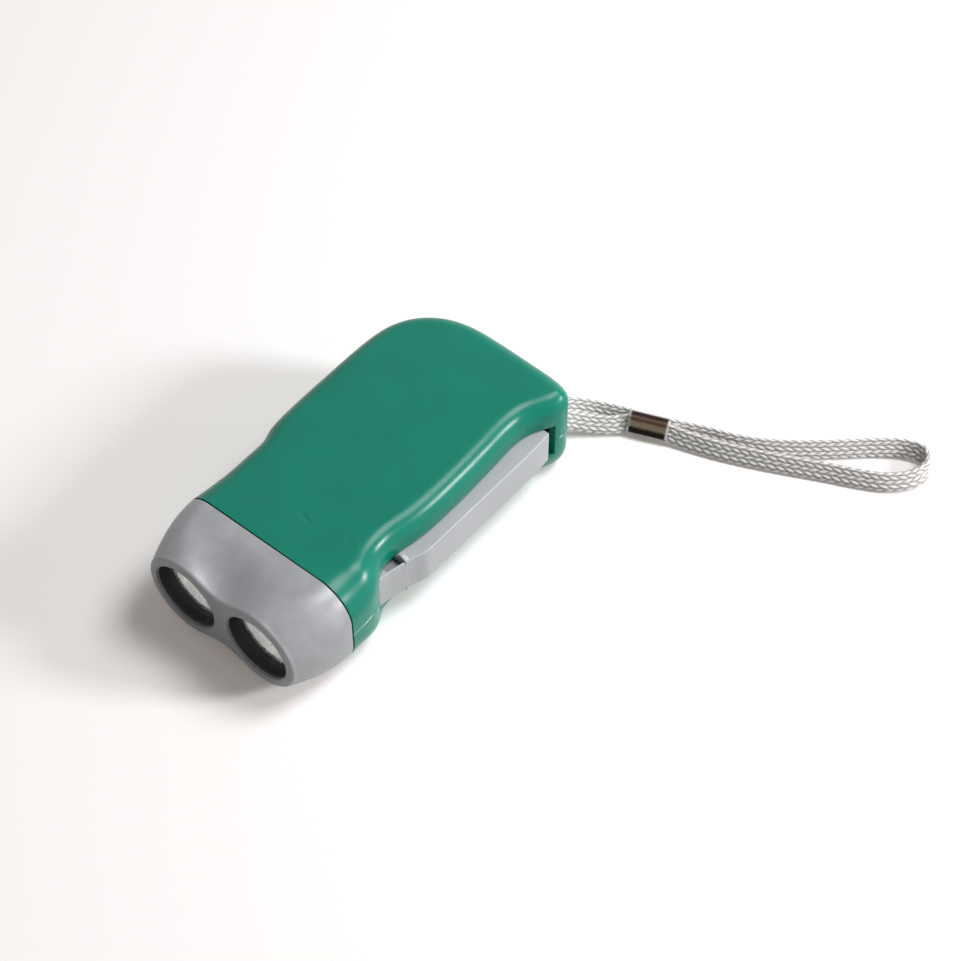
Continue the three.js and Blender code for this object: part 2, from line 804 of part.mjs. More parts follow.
function secondGear() {
  const wheel = gearDisc(secondWheelTeeth, gearModule, 0, secondWheelLow, secondWheelHigh);
  const pinion = gearDisc(pinionTeeth, gearModule, secondPinionPhase, secondPinionLow, secondWheelHigh);
  return bored(wheel.add(pinion), axleRadius + fitGap, secondPinionLow, secondWheelHigh);
}

function rotorPinion() {
  const pinion = gearDisc(pinionTeeth, gearModule, rotorPinionPhase, rotorPinionLow, secondWheelHigh);
  const centre = new THREE.Vector2(0, 0);
  const hub = solid(post(centre, hubRadius, rotorPinionLow, flywheelLow - fitGap, 16));
  const neck = solid(post(centre, hubNeckRadius, rotorPinionLow, flywheelHigh, 16));
  return bored(joined([pinion, hub, neck]), axleRadius + fitGap, rotorPinionLow, flywheelHigh);
}

function axle(low, high, radius) {
  const tip = radius / 4;
  return new THREE.LatheGeometry([
    new THREE.Vector2(0, low), new THREE.Vector2(radius - tip, low), new THREE.Vector2(radius, low + tip),
    new THREE.Vector2(radius, high - tip), new THREE.Vector2(radius - tip, high), new THREE.Vector2(0, high),
  ], 10).rotateX(Math.PI / 2);
}

// Lever

function leverOutline(inset, rear, innerX, openAngle) {
  const stepOut = halfWidth - pivotX - leverHubRadius;
  const stepLength = leverFaceStart - pivotY;
  const steps = lever_step_shares.map(([x, y]) => [
    pivotX + leverHubRadius + x * stepOut - inset,
    pivotY + y * stepLength,
  ]);
  return [
    ...arc(pivot, leverHubRadius - inset, openAngle, leverArcEnd, leverArcSteps),
    ...steps,
    [halfWidth - inset, leverFaceEnd],
    [leverRearX - inset, rear],
    [innerX, rear],
  ];
}

function sectorArm() {
  const bearing = THREE.MathUtils.degToRad(sectorBearing);
  const pitch = (2 * Math.PI) / sectorTeeth;
  const polar = [];
  for (let k = sectorToothFirst; k <= sectorToothLast; k += 1) {
    polar.push(...toothPoints(sectorTeeth, sectorModule, bearing + k * pitch));
  }
  const teeth = polar.map(([r, angle]) => [
    pivotX + r * Math.cos(angle),
    pivotY + r * Math.sin(angle),
  ]);
  const first = sectorBearing + THREE.MathUtils.radToDeg(pitch) * (sectorToothFirst - 1 / 2);
  const last = sectorBearing + THREE.MathUtils.radToDeg(pitch) * (sectorToothLast + 1 / 2);
  const root = sectorRadius - dedendum_share * sectorModule;
  const start = stepFrom(pivot, first, root);
  const end = stepFrom(pivot, last, root);
  const inner = arc(pivot, leverBossRadius / 2, last, first, 4);
  return solid(prism([[start.x, start.y], ...teeth, [end.x, end.y], ...inner], sectorLow, sectorHigh));
}

function fin() {
  const x = halfWidth - leverSkin - finReach;
  const base = leverHigh - leverFlange;
  const y = finFront();
  const outline = [
    [x, base], [x + finReach, base], [x + finReach, leverHigh],
    [x + finReach / 2, leverHigh + finHeight], [x, leverHigh],
  ];
  const plate = prism(outline, 0, finThickness).rotateX(Math.PI / 2);
  return solid(plate.translate(0, y + finThickness, 0));
}

function finFront() {
  return pivotY + (leverFaceStart - pivotY) * fin_share;
}

function leverRibs() {
  const ribs = [];
  for (let k = 1; k <= leverRibCount; k += 1) {
    const y = leverFaceStart + ((leverRear - leverFaceStart) * k) / (leverRibCount + 1);
    const xs = [leverInnerX + leverFlange, halfWidth - leverSkin / 2];
    const zs = [leverLow + leverFlange / 2, leverHigh - leverFlange / 2];
    ribs.push(solid(block(xs, [y, y + leverRib], zs)));
  }
  return ribs;
}

function squeezeLever() {
  const body = solid(prism(leverOutline(0, leverRear, leverInnerX, leverArcStart), leverLow, leverHigh));
  const hollow = leverOutline(leverSkin, leverRear - leverSkin, leverInnerX - leverDepth, pocketArcStart);
  const pocket = solid(prism(hollow, leverLow + leverFlange, leverHigh - leverFlange));
  const ahead = block([0, halfWidth], [pivotY - sectorRadius, finFront()], [leverMidHeight, bodyHeight]);
  const topCut = solid(prism(hollow, leverMidHeight, leverHigh + overrun)).intersect(solid(ahead));
  const boss = solid(post(pivot, leverBossRadius, leverLow, leverHigh, 20));
  const full = joined([cut(body, [pocket, topCut]), boss, sectorArm(), fin(), ...leverRibs()]);
  const pinHole = solid(post(pivot, pivotPinRadius + fitGap, leverLow - overrun, leverHigh + overrun, 16));
  const half = lockWidth / 2 + fitGap;
  const tongueTop = lockTop() + fitGap;
  const slotLow = tongueTop - lockTongueHeight - fitGap * 2;
  const slotY = [leverRear - leverSkin * 2, leverRear + overrun];
  const slot = block([lockX - half, lockX + half], slotY, [slotLow, tongueTop]);
  return cut(full, [pinHole, solid(slot)]);
}

// Lever lock

function lockTop() {
  return leverMidHeight - lockTongueDrop / 2;
}

function leverLock() {
  const [x0, x1] = [lockX - lockWidth / 2, lockX + lockWidth / 2];
  const [y0, y1] = [lockY - lockLength / 2, lockY + lockLength / 2];
  const body = block([x0, x1], [y0, y1], [lockFloorRise, lockTop()]);
  const tongueTip = leverRear + fitGap * 2;
  const tongue = block([x0, x1], [tongueTip, y1], [lockTop() - lockTongueHeight, lockTop()]);
  const half = lockStemWidth / 2;
  const halfStem = lockStemLength / 2;
  const stemY = [lockY - halfStem, lockY + halfStem];
  const stem = block([lockX - half, lockX + half], stemY, [lockKnobRecess, lockTop()]);
  return joined([solid(body), solid(tongue), solid(stem)]);
}

// Return spring, a helix with two straight legs swept as rings of points

function springPath() {
  const points = [];
  const steps = springTurns * springStepsPerTurn;
  const low = leverHigh + springWire + fitGap;
  points.push(new THREE.Vector3(springRadius, -springLeg, low));
  for (let k = 0; k <= steps; k += 1) {
    const angle = (2 * Math.PI * k) / springStepsPerTurn;
    const rise = (springPitch * k) / springStepsPerTurn;
    const [x, y] = [springRadius * Math.cos(angle), springRadius * Math.sin(angle)];
    points.push(new THREE.Vector3(x, y, low + rise));
  }
  points.push(new THREE.Vector3(-springRadius, -springLeg, low + springPitch * springTurns));
  return points;
}

function leverSpring() {
  const points = springPath();
  const rings = points.map((point, i) => {
    const before = points[Math.max(i - 1, 0)];
    const after = points[Math.min(i + 1, points.length - 1)];
    const along = new THREE.Vector3().subVectors(after, before).normalize();
    const side = new THREE.Vector3().crossVectors(along, new THREE.Vector3(0, 0, 1)).normalize();
    const up = new THREE.Vector3().crossVectors(side, along);
    const circle = [];
    for (let k = 0; k < springSides; k += 1) {
      const angle = (2 * Math.PI * k) / springSides;
      circle.push(point.clone().addScaledVector(side, springWire * Math.cos(angle))
        .addScaledVector(up, springWire * Math.sin(angle)));
    }
    return circle;
  });
  return loft(rings);
}

// Generator

function generatorPlate() {
  const half = plateLength / 2;
  const corners = [[1, -1], [1, 1], [-1, 1], [-1, -1]];
  const points = corners.flatMap(([sx, sy], i) => {
    const centre = new THREE.Vector2(
      rotorAxle.x + sx * (plateReach - plateCorner),
      rotorAxle.y + sy * (half - plateCorner),
    );
    return arc(centre, plateCorner, -90 + i * 90, i * 90, 5);
  });
  const sheet = solid(prism(points, plateLow, plateHigh));
  const hubHole = solid(post(rotorAxle, hubRadius + fitGap * 2, 0, bodyHeight, 20));
  const axleHole = solid(post(secondAxle, axleRadius + fitGap, 0, bodyHeight, 12));
  const notches = screwCentres().map((c) => solid(post(c, screwBossRadius + fitGap, 0, bodyHeight)));
  return cut(sheet, [hubHole, axleHole, ...notches]);
}

function clawPlate(low, clawFrom, clawTo, turn) {
  const centre = new THREE.Vector2(0, 0);
  const sheet = solid(turned(ring(clawInner, statorRadius, low, low + clawSheet), 24).rotateX(Math.PI / 2));
  const claws = [];
  for (let k = 0; k < clawCount; k += 1) {
    const middle = turn + (360 * k) / clawCount;
    const outer = arc(centre, clawInner + clawDepth, middle - clawSweep / 2, middle + clawSweep / 2, 2);
    const inner = arc(centre, clawInner, middle + clawSweep / 2, middle - clawSweep / 2, 2);
    claws.push(solid(prism([...outer, ...inner], clawFrom, clawTo)));
  }
  return joined([sheet, ...claws]);
}

const statorTopSheet = statorHigh - clawSheet;
const clawReach = statorTopSheet - clawSheet;

function lowerClaws() {
  return clawPlate(statorLow, statorLow, clawReach, 0);
}

function upperClaws() {
  return clawPlate(statorTopSheet, statorLow + clawSheet * 2, statorHigh, 180 / clawCount);
}

const bobbinInner = clawInner + clawDepth + fitGap;
const bobbinLow = statorLow + clawSheet + fitGap;
const bobbinHigh = statorTopSheet - fitGap;

function coilBobbin() {
  const [low, high] = [bobbinLow, bobbinHigh];
  const core = bobbinInner + bobbinWall;
  return turned([
    [bobbinInner, low], [statorRadius, low], [statorRadius, low + bobbinWall], [core, low + bobbinWall],
    [core, high - bobbinWall], [statorRadius, high - bobbinWall], [statorRadius, high],
    [bobbinInner, high], [bobbinInner, low],
  ], 20).rotateX(Math.PI / 2);
}

function coilWinding() {
  const inner = bobbinInner + bobbinWall + fitGap;
  const outer = statorRadius - fitGap;
  const low = bobbinLow + bobbinWall + fitGap;
  const high = bobbinHigh - bobbinWall - fitGap;
  const crown = fitGap;
  return turned([
    [inner, low], [outer - crown, low], [outer, low + crown], [outer, high - crown],
    [outer - crown, high], [inner, high], [inner, low],
  ], 20).rotateX(Math.PI / 2);
}

function rotorMagnet() {
  const low = statorLow + pinionOverlap;
  const high = flywheelLow - fitGap * 2;
  return turned(ring(hubRadius + fitGap, magnetRadius, low, high), 24).rotateX(Math.PI / 2);
}

function flywheel() {
  const inner = hubNeckRadius + fitGap;
  const web = flywheelThickness / 3;
  return turned([
    [inner, flywheelLow], [flywheelRadius, flywheelLow], [flywheelRadius, flywheelHigh],
    [flywheelRadius - web * 4, flywheelHigh], [flywheelRadius - web * 5, flywheelHigh - web],
    [inner + web * 2, flywheelHigh - web], [inner + web, flywheelHigh], [inner, flywheelHigh],
    [inner, flywheelLow],
  ], 20).rotateX(Math.PI / 2);
}

// Board, cell and switch

function chargingBoard() {
  return block([boardLeft, boardRight], [boardFront, boardRear], [boardLow, boardHigh]);
}

function batteryCell() {
  const low = boardHigh + fitGap;
  const high = low + cellThickness;
  const profile = [
    [0, low], [cellRadius - cellStep * 2, low], [cellRadius - cellStep * 2, low + cellStep / 2],
    [cellRadius - cellStep, low + cellStep], [cellRadius, low + cellStep * 2], [cellRadius, high], [0, high],
  ];
  return turned(profile, 20).rotateX(Math.PI / 2);
}

function batteryClip() {
  const top = boardHigh + cellThickness + fitGap * 2;
  const reach = cellRadius + fitGap;
  const outline = [
    [-reach - clipSheet, boardHigh + fitGap], [-reach, boardHigh + fitGap], [-reach, top],
    [reach, top], [reach, boardHigh + fitGap], [reach + clipSheet, boardHigh + fitGap],
    [reach + clipSheet, top + clipSheet], [-reach - clipSheet, top + clipSheet],
  ];
  const strip = prism(outline, -clipWidth / 2, clipWidth / 2).rotateX(Math.PI / 2);
  return strip.rotateZ(Math.PI / 2);
}

function capacitor() {
  const half = capacitorLength / 2;
  const bead = capacitorRadius / 6;
  const can = turned([
    [0, -half], [capacitorRadius - bead, -half], [capacitorRadius, -half + bead],
    [capacitorRadius, half - bead * 4], [capacitorRadius - bead, half - bead * 3],
    [capacitorRadius, half - bead * 2], [capacitorRadius - bead, half], [0, half],
  ], 12);
  return can.rotateZ(Math.PI / 2);
}

const recessX = -recess_share * halfWidth;

function switchBody() {
  const outer = recessX + shellWall + fitGap;
  const xs = [outer, outer + switchDepth];
  const ys = [switchY - switchLength / 2, switchY + switchLength / 2];
  const zs = [parting - switchHeight / 2, parting + switchHeight / 2];
  const reach = (neckLength + knobTravel) / 2 + fitGap;
  const slotZ = neckHeight / 2 + fitGap;
  const slot = block(
    [outer - overrun, outer + neckReach + fitGap], [switchY - reach, switchY + reach],
    [parting - slotZ, parting + slotZ],
  );
  return solid(block(xs, ys, zs)).subtract(solid(slot));
}

function switchKnob() {
  const middle = switchY + knobTravel / 2;
  const face = recessX - fitGap;
  const zs = [parting - knobHeight / 2, parting + knobHeight / 2];
  const ribs = [];
  const pad = block(
    [face - knobProud + knobRib, face], [middle - knobLength / 2, middle + knobLength / 2], zs,
  );
  for (let k = 0; k < knobRibCount; k += 1) {
    const y = middle + (knobLength * (k + 1 / 2)) / knobRibCount - knobLength / 2;
    ribs.push(solid(block([face - knobProud, face], [y - knobRib, y + knobRib], zs)));
  }
  const neck = block(
    [face - knobRib, recessX + shellWall + fitGap + neckReach],
    [middle - neckLength / 2, middle + neckLength / 2],
    [parting - neckHeight / 2, parting + neckHeight / 2],
  );
  return joined([solid(pad), solid(neck), ...ribs]);
}

// Screws

function screwSeat() {
  return screwHeadSink + screwHeadHeight + fitGap;
}

function screw() {
  const [low, seat] = [screwHeadSink, screwHeadSink + screwHeadHeight];
  const dome = screwHeadHeight / 3;
  const tip = seat + screwLength;
  return turned([
    [0, low], [screwHeadRadius - dome * 2, low], [screwHeadRadius - dome / 2, low + dome / 2],
    [screwHeadRadius, low + dome * 2], [screwHeadRadius, seat], [screwRadius, seat],
    [screwRadius, tip - screwRadius * 2], [0, tip],
  ], 10).rotateX(Math.PI / 2);
}

// Strap

function flatSection(width, thickness, sides) {
  const points = [];
  for (let k = 0; k < sides; k += 1) {
    const angle = (2 * Math.PI * (k + 1 / 2)) / sides;
    const bulge = 1 / Math.cos(Math.PI / sides);
    const x = THREE.MathUtils.clamp((width / 2) * Math.cos(angle) * bulge, -width / 2, width / 2);
    const y = THREE.MathUtils.clamp(thickness * Math.sin(angle), -thickness / 2, thickness / 2);
    points.push(new THREE.Vector2(x, y));
  }
  return new THREE.Shape(points);
}

// A route whose section keeps its width upright all the way
class UprightRoute extends THREE.CatmullRomCurve3 {
  computeFrenetFrames(segments, closed) {
    const frames = super.computeFrenetFrames(segments, closed);
    frames.tangents.forEach((along, i) => {
      const side = new THREE.Vector3().crossVectors(along, new THREE.Vector3(0, 0, 1)).normalize();
      frames.normals[i].crossVectors(side, along).normalize();
      frames.binormals[i].crossVectors(along, frames.normals[i]);
    });
    return frames;
  }
}

function wristStrap() {
  const route = new UprightRoute(
    strapRoute.map(([x, y, z]) => new THREE.Vector3(x, y, z)), false, "centripetal",
  );
  const section = flatSection(strapWidth, strapThickness, strapSides);
  return new THREE.ExtrudeGeometry(section, { steps: strapSteps, extrudePath: route, bevelEnabled: false });
}

function ovalPoints(halfHigh, halfWide) {
  const points = [];
  for (let k = 0; k < 16; k += 1) {
    const angle = (2 * Math.PI * k) / 16;
    const power = 1 / 2;
    const x = Math.sign(Math.cos(angle)) * Math.abs(Math.cos(angle)) ** power * halfWide;
    const y = Math.sign(Math.sin(angle)) * Math.abs(Math.sin(angle)) ** power * halfHigh;
    points.push([x, y]);
  }
  return points;
}

function ferrule() {
  const halfWide = strapThickness + fitGap * 3;
  const halfHigh = strapWidth / 2 + fitGap;
  const half = ferruleLength / 2;
  const tube = solid(prism(ovalPoints(halfHigh + ferruleWall, halfWide + ferruleWall), -half, half));
  const hollow = solid(prism(ovalPoints(halfHigh, halfWide), -half - overrun, half + overrun));
  return geometryOf(tube.subtract(hollow)).rotateX(Math.PI / 2);
}

// Materials

const finishes = {
  green: { color: 0x1e8068, roughness: 0.45 },
  grey: { color: 0x8f9196, roughness: 0.4 },
  leverGrey: { color: 0xb4b5b7, roughness: 0.5 },
  black: { color: 0x17181a, roughness: 0.5 },
  clear: { color: 0xe8eef0, roughness: 0.05, transparent: true, opacity: 0.4 },
  chrome: { color: 0xd8d8d8, roughness: 0.1, metalness: 1 },
  steel: { color: 0xa8aaad, roughness: 0.3, metalness: 1 },
  brass: { color: 0xb8924a, roughness: 0.35, metalness: 1 },
  copper: { color: 0xb06a3c, roughness: 0.4, metalness: 1 },
  nylon: { color: 0xe6e2d6, roughness: 0.55 },
  ferrite: { color: 0x3a3a3d, roughness: 0.6 },
  board: { color: 0x2c6b3f, roughness: 0.6 },
  braid: { color: 0xc8c6c4, roughness: 0.7 },
};

const torch = new THREE.Group();

function place(name, shape, finish, parent = torch) {
  const material = new THREE.MeshStandardMaterial(finishes[finish]);
  const mesh = new THREE.Mesh(geometryOf(shape), material);
  mesh.name = name;
  parent.add(mesh);
  return mesh;
}

function groupAt(x, y, z = 0) {
  const group = new THREE.Group();
  group.position.set(x, y, z);
  torch.add(group);
  return group;
}

place("upper_shell", upperShell(), "green");
place("lower_shell", lowerShell(), "green");
place("head_housing", headHousing(), "grey");

[["left", -1], ["right", 1]].forEach(([side, sign]) => {
  const lamp = groupAt((sign * lampSpacing) / 2, noseY, parting);
  place(`lamp_tube_${side}`, lampTube(), "black", lamp);
  place(`lens_${side}`, lens(), "clear", lamp);
  place(`reflector_${side}`, reflector(), "chrome", lamp);
  place(`led_${side}`, led(), "clear", lamp);
});
place("led_board", ledBoard(), "board");

place("squeeze_lever", squeezeLever(), "leverGrey");
place("lever_lock", leverLock(), "black");
const pivotGroup = groupAt(pivotX, pivotY);
place("pivot_pin", axle(floorTop + fitGap, ceiling - fitGap, pivotPinRadius), "steel", pivotGroup);
place("lever_spring", leverSpring(), "steel", pivotGroup);

const firstGroup = groupAt(firstAxle.x, firstAxle.y);
place("first_gear", firstGear(), "nylon", firstGroup);
place("first_axle", axle(floorTop + fitGap, ceiling - fitGap, axleRadius), "steel", firstGroup);

const secondGroup = groupAt(secondAxle.x, secondAxle.y);
place("second_gear", secondGear(), "nylon", secondGroup);
place("second_axle", axle(floorTop + fitGap, plateHigh, axleRadius), "steel", secondGroup);

place("generator_plate", generatorPlate(), "nylon");
const rotorGroup = groupAt(rotorAxle.x, rotorAxle.y);
place("rotor_pinion", rotorPinion(), "nylon", rotorGroup);
place("rotor_magnet", rotorMagnet(), "ferrite", rotorGroup);
place("flywheel", flywheel(), "brass", rotorGroup);
place("rotor_axle", axle(floorTop + fitGap, ceiling - fitGap, axleRadius), "steel", rotorGroup);
place("stator_claws_lower", lowerClaws(), "steel", rotorGroup);
place("stator_claws_upper", upperClaws(), "steel", rotorGroup);
place("coil_bobbin", coilBobbin(), "nylon", rotorGroup);
place("coil_winding", coilWinding(), "copper", rotorGroup);

place("charging_board", chargingBoard(), "board");
const cellGroup = groupAt(cellX, cellY);
place("battery_cell", batteryCell(), "steel", cellGroup);
place("battery_clip", batteryClip(), "brass", cellGroup);
const capacitorHeight = boardHigh + fitGap + capacitorRadius;
const capacitorGroup = groupAt((boardLeft + boardRight) / 2, capacitorY, capacitorHeight);
place("capacitor", capacitor(), "black", capacitorGroup);

place("switch_body", switchBody(), "black");
place("switch_knob", switchKnob(), "leverGrey");

Object.entries(screwPlaces).forEach(([corner, [x, y]]) => {
  place(`screw_${corner}`, screw(), "steel", groupAt(x, y));
});

const strapPinGroup = groupAt(strapPinX, strapPinY);
place("strap_pin", axle(floorTop + fitGap, ceiling - fitGap, strapPinRadius), "steel", strapPinGroup);
place("wrist_strap", wristStrap(), "braid");
const ferruleGroup = groupAt(...ferrulePlace);
ferruleGroup.rotation.z = THREE.MathUtils.degToRad(ferruleBearing - 90);
place("strap_ferrule", ferrule(), "chrome", ferruleGroup);

export default torch;
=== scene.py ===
"""Looks of a squeeze dynamo torch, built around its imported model.

Metres, +Z up. The beams leave along -Y, the lever is on the +X side and the origin
lies on the floor under the middle of the body.
"""

import logging
import math
from collections.abc import Callable, Iterator, Sequence
from contextlib import contextmanager
from dataclasses import dataclass
from enum import Enum

import bmesh
import bpy
from mathutils import Matrix, Vector


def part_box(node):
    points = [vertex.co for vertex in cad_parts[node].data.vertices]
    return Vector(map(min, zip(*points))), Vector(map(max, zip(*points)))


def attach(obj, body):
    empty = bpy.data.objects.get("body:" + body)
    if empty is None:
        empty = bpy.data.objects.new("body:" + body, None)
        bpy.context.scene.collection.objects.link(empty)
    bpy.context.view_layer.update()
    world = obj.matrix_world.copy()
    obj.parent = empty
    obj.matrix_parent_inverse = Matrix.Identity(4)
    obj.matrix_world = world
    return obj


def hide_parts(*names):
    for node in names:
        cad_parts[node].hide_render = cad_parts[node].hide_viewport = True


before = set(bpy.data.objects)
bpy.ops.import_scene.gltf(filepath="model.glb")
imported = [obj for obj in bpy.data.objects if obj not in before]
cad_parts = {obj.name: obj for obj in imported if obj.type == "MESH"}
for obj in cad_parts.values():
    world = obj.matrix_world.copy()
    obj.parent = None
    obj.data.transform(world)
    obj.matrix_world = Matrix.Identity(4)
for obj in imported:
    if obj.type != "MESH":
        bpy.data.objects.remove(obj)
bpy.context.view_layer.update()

MM = 0.001
LOG = logging.getLogger("torch")
Point = tuple[float, float, float]
Flat = tuple[float, float]
Box = tuple[Point, Point]
Post = tuple[Flat, float, float, float]
Spans = tuple[Flat, Flat, Flat]
MOST: Flat = (0.35, 0.65)  # the span that holds most of a noise's values


class Body(Enum):
    """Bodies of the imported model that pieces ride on."""

    TORCH = "torch"
    LEVER = "lever"
    SWITCH = "switch"
    LOCK = "lock"


class Join(Enum):
    """Ways to combine two closed meshes."""

    ADD = "UNION"
    CUT = "DIFFERENCE"
    COMMON = "INTERSECT"


# Shader graphs


class Link:
    """One shader output, which adds Math nodes when it is used in a sum."""

    def __init__(self, graph: "Graph", socket: bpy.types.NodeSocket) -> None:
        """Keeps the graph and the output socket."""
        self.graph = graph
        self.socket = socket

    def __add__(self, other: "Value") -> "Link":
        """This plus other."""
        return self.graph.math("ADD", self, other)

    def __sub__(self, other: "Value") -> "Link":
        """This minus other."""
        return self.graph.math("SUBTRACT", self, other)

    def __rsub__(self, other: "Value") -> "Link":
        """Other minus this."""
        return self.graph.math("SUBTRACT", other, self)

    def __mul__(self, other: "Value") -> "Link":
        """This times other."""
        return self.graph.math("MULTIPLY", self, other)

    def __truediv__(self, other: "Value") -> "Link":
        """This divided by other."""
        return self.graph.math("DIVIDE", self, other)

    def __rtruediv__(self, other: "Value") -> "Link":
        """Other divided by this."""
        return self.graph.math("DIVIDE", other, self)

    __radd__ = __add__
    __rmul__ = __mul__


Value = Link | float | int | tuple | Vector
Colour = tuple[float, float, float, float]
Stop = tuple[float, Colour]
WHITE: Colour = (1.0, 1.0, 1.0, 1.0)


class Graph:
    """The node tree of one material or world."""

    def __init__(self, tree: bpy.types.NodeTree) -> None:
        """Empties the tree."""
        self.tree = tree
        tree.nodes.clear()

    def node(
        self,
        kind: str,
        inputs: dict[str | int, Value] | None = None,
        output: str | int = 0,
        **settings: object,
    ) -> Link:
        """Adds a node.

        Args:
            kind: The node's type without its ShaderNode prefix.
            inputs: Values or links of its input sockets, by name or place.
            output: The output socket that is handed back.
            settings: The node's own settings, with stops for a colour ramp.

        Returns:
            The chosen output, ready for sums.
        """
        made = self.tree.nodes.new("ShaderNode" + kind)
        for name, value in settings.items():
            if name == "stops":
                self._fill_ramp(made.color_ramp, value)
            else:
                setattr(made, name, value)
        for key, value in (inputs or {}).items():
            socket = made.inputs[key]
            if isinstance(value, Link):
                self.tree.links.new(value.socket, socket)
            else:
                socket.default_value = value
        return Link(self, made.outputs[output] if len(made.outputs) else None)

    @staticmethod
    def _fill_ramp(ramp: bpy.types.ColorRamp, stops: Sequence[Stop]) -> None:
        """Sets a ramp's stops from (place, colour) pairs.

        Args:
            ramp: The ramp.
            stops: Its (place, colour) pairs.
        """
        while len(ramp.elements) > len(stops):
            ramp.elements.remove(ramp.elements[-1])
        while len(ramp.elements) < len(stops):
            ramp.elements.new(1.0)
        for element, (place, colour) in zip(ramp.elements, stops):
            element.position = place
            element.color = colour

    def math(self, operation: str, *values: Value) -> Link:
        """Adds one Math node on the values."""
        return self.node("Math", dict(enumerate(values)), operation=operation)

    def object_place(self) -> Link:
        """Object coordinates in metres."""
        return self.node("TexCoord", output="Object")

    def noise(self, place: Link, size: float, detail: float = 3.0, rough: float = 0.5) -> Link:
        """Noise whose lumps are about size metres across."""
        inputs = {"Vector": place, "Scale": 1 / size, "Detail": detail, "Roughness": rough}
        return self.node("TexNoise", inputs, output="Fac")

    def ramp(self, value: Value, *stops: Stop) -> Link:
        """A colour ramp over a value."""
        return self.node("ValToRGB", {"Fac": value}, output="Color", stops=stops)

    def mix(self, share: Value, first: Value, second: Value) -> Link:
        """A blend of two colours."""
        inputs = {0: share, 6: first, 7: second}
        return self.node("Mix", inputs, output=2, data_type="RGBA", clamp_factor=True)

    def spread(self, value: Value, low: float, high: float, to: Flat = (0.0, 1.0)) -> Link:
        """Maps the span low to high onto another, clamped and eased at both ends."""
        inputs = {"Value": value, 1: low, 2: high, 3: to[0], 4: to[1]}
        return self.node("MapRange", inputs, output="Result", interpolation_type="SMOOTHSTEP")

    def bump(self, height: Link, depth: float = 1.0) -> Link:
        """A bump of depth metres where height is 1."""
        return self.node("Bump", {"Height": height, "Distance": depth, "Strength": 1.0}, output="Normal")

    def attribute(self, name: str) -> Link:
        """A number that the mesh stores at each point."""
        return self.node("Attribute", output="Fac", attribute_name=name)

    def seen(self) -> Link:
        """1 for rays of the camera and for those off gloss or through glass, 0 for the rest."""
        rays = self.node("LightPath").socket.node.outputs
        names = ("Is Camera Ray", "Is Glossy Ray", "Is Transmission Ray")
        direct, glossy, through = (Link(self, rays[name]) for name in names)
        return self.math("MAXIMUM", self.math("MAXIMUM", direct, glossy), through)


def linear(red: int, green: int, blue: int) -> Colour:
    """A colour written as screen values from 0 to 255, as linear light."""
    shares = [channel / 255 for channel in (red, green, blue)]
    light = [s / 12.92 if s <= 0.04045 else ((s + 0.055) / 1.055) ** 2.4 for s in shares]
    return (*light, 1.0)


def shaded(colour: Colour, factor: float) -> Colour:
    """A colour made lighter or darker by a factor."""
    return (*(min(1.0, channel * factor) for channel in colour[:3]), 1.0)


# Finishes


@dataclass(frozen=True)
class Finish:
    """A surface finish. Its material is made once and shared."""

    name: str
    slot: str
    colour: Colour
    roughness: float = 0.5

    def material(self) -> bpy.types.Material:
        """The finish as a material.

        Returns:
            The material, made on first use.
        """
        found = bpy.data.materials.get(self.name)
        if found:
            return found
        made = bpy.data.materials.new(self.name)
        made.use_nodes = True
        graph = Graph(made.node_tree)
        shader = graph.node("BsdfPrincipled", {"Base Color": self.colour, "Roughness": self.roughness})
        graph.node("OutputMaterial", {"Surface": shader})
        self.paint(graph, shader.socket.node.inputs)
        return made

    def paint(self, graph: Graph, sockets: bpy.types.NodeInputs) -> None:
        """Adds what varies over the surface. Each finish says how."""

    @staticmethod
    def feed(graph: Graph, sockets: bpy.types.NodeInputs, **links: Link) -> None:
        """Links values to the shader's sockets, named with underscores for spaces."""
        for name, link in links.items():
            graph.tree.links.new(link.socket, sockets[name.replace("_", " ")])


@dataclass(frozen=True)
class Moulded(Finish):
    """Moulded plastic: faint clouding, a fine spark texture and rubbed spots."""

    clouding: float = 0.05
    cloud_size: float = 14 * MM
    cloud_share: float = 0.75
    grain_size: float = 0.28 * MM
    grain_depth: float = 0.006 * MM
    speckle_size: float = 1.6
    wave_depth: float = 0.02 * MM
    rub: float = 0.08
    specular: float = 0.5
    metallic: float = 0.0

    def paint(self, graph: Graph, sockets: bpy.types.NodeInputs) -> None:
        """Clouds the colour, varies the gloss and adds the grain."""
        place = graph.object_place()
        cloud = graph.noise(place, self.cloud_size, 2.0)
        speckle = graph.noise(place, self.grain_size * self.speckle_size, 1.0)
        tone = graph.spread(cloud * self.cloud_share + speckle * (1 - self.cloud_share), *MOST)
        dark = shaded(self.colour, 1 - self.clouding)
        light = shaded(self.colour, 1 + self.clouding)
        base = self.marked(graph, place, graph.mix(tone, dark, light))
        gloss = graph.noise(place, self.cloud_size / 2, 4.0, 0.6)
        span = (self.roughness - self.rub / 2, self.roughness + self.rub / 2)
        roughness = graph.spread(gloss, *MOST, span)
        sockets["Specular IOR Level"].default_value = self.specular
        sockets["Metallic"].default_value = self.metallic
        relief = graph.bump(self.height(graph, place))
        self.feed(graph, sockets, Base_Color=base, Roughness=roughness, Normal=relief)

    def marked(self, graph: Graph, place: Link, base: Link) -> Link:
        """Adds marks of its own to the base colour. Plain plastic has none."""
        return base

    def height(self, graph: Graph, place: Link) -> Link:
        """The grain and the slow waves of the moulding, in metres."""
        grain = graph.noise(place, self.grain_size, 1.0)
        wave = graph.noise(place, self.cloud_size, 1.0)
        return grain * self.grain_depth + wave * self.wave_depth


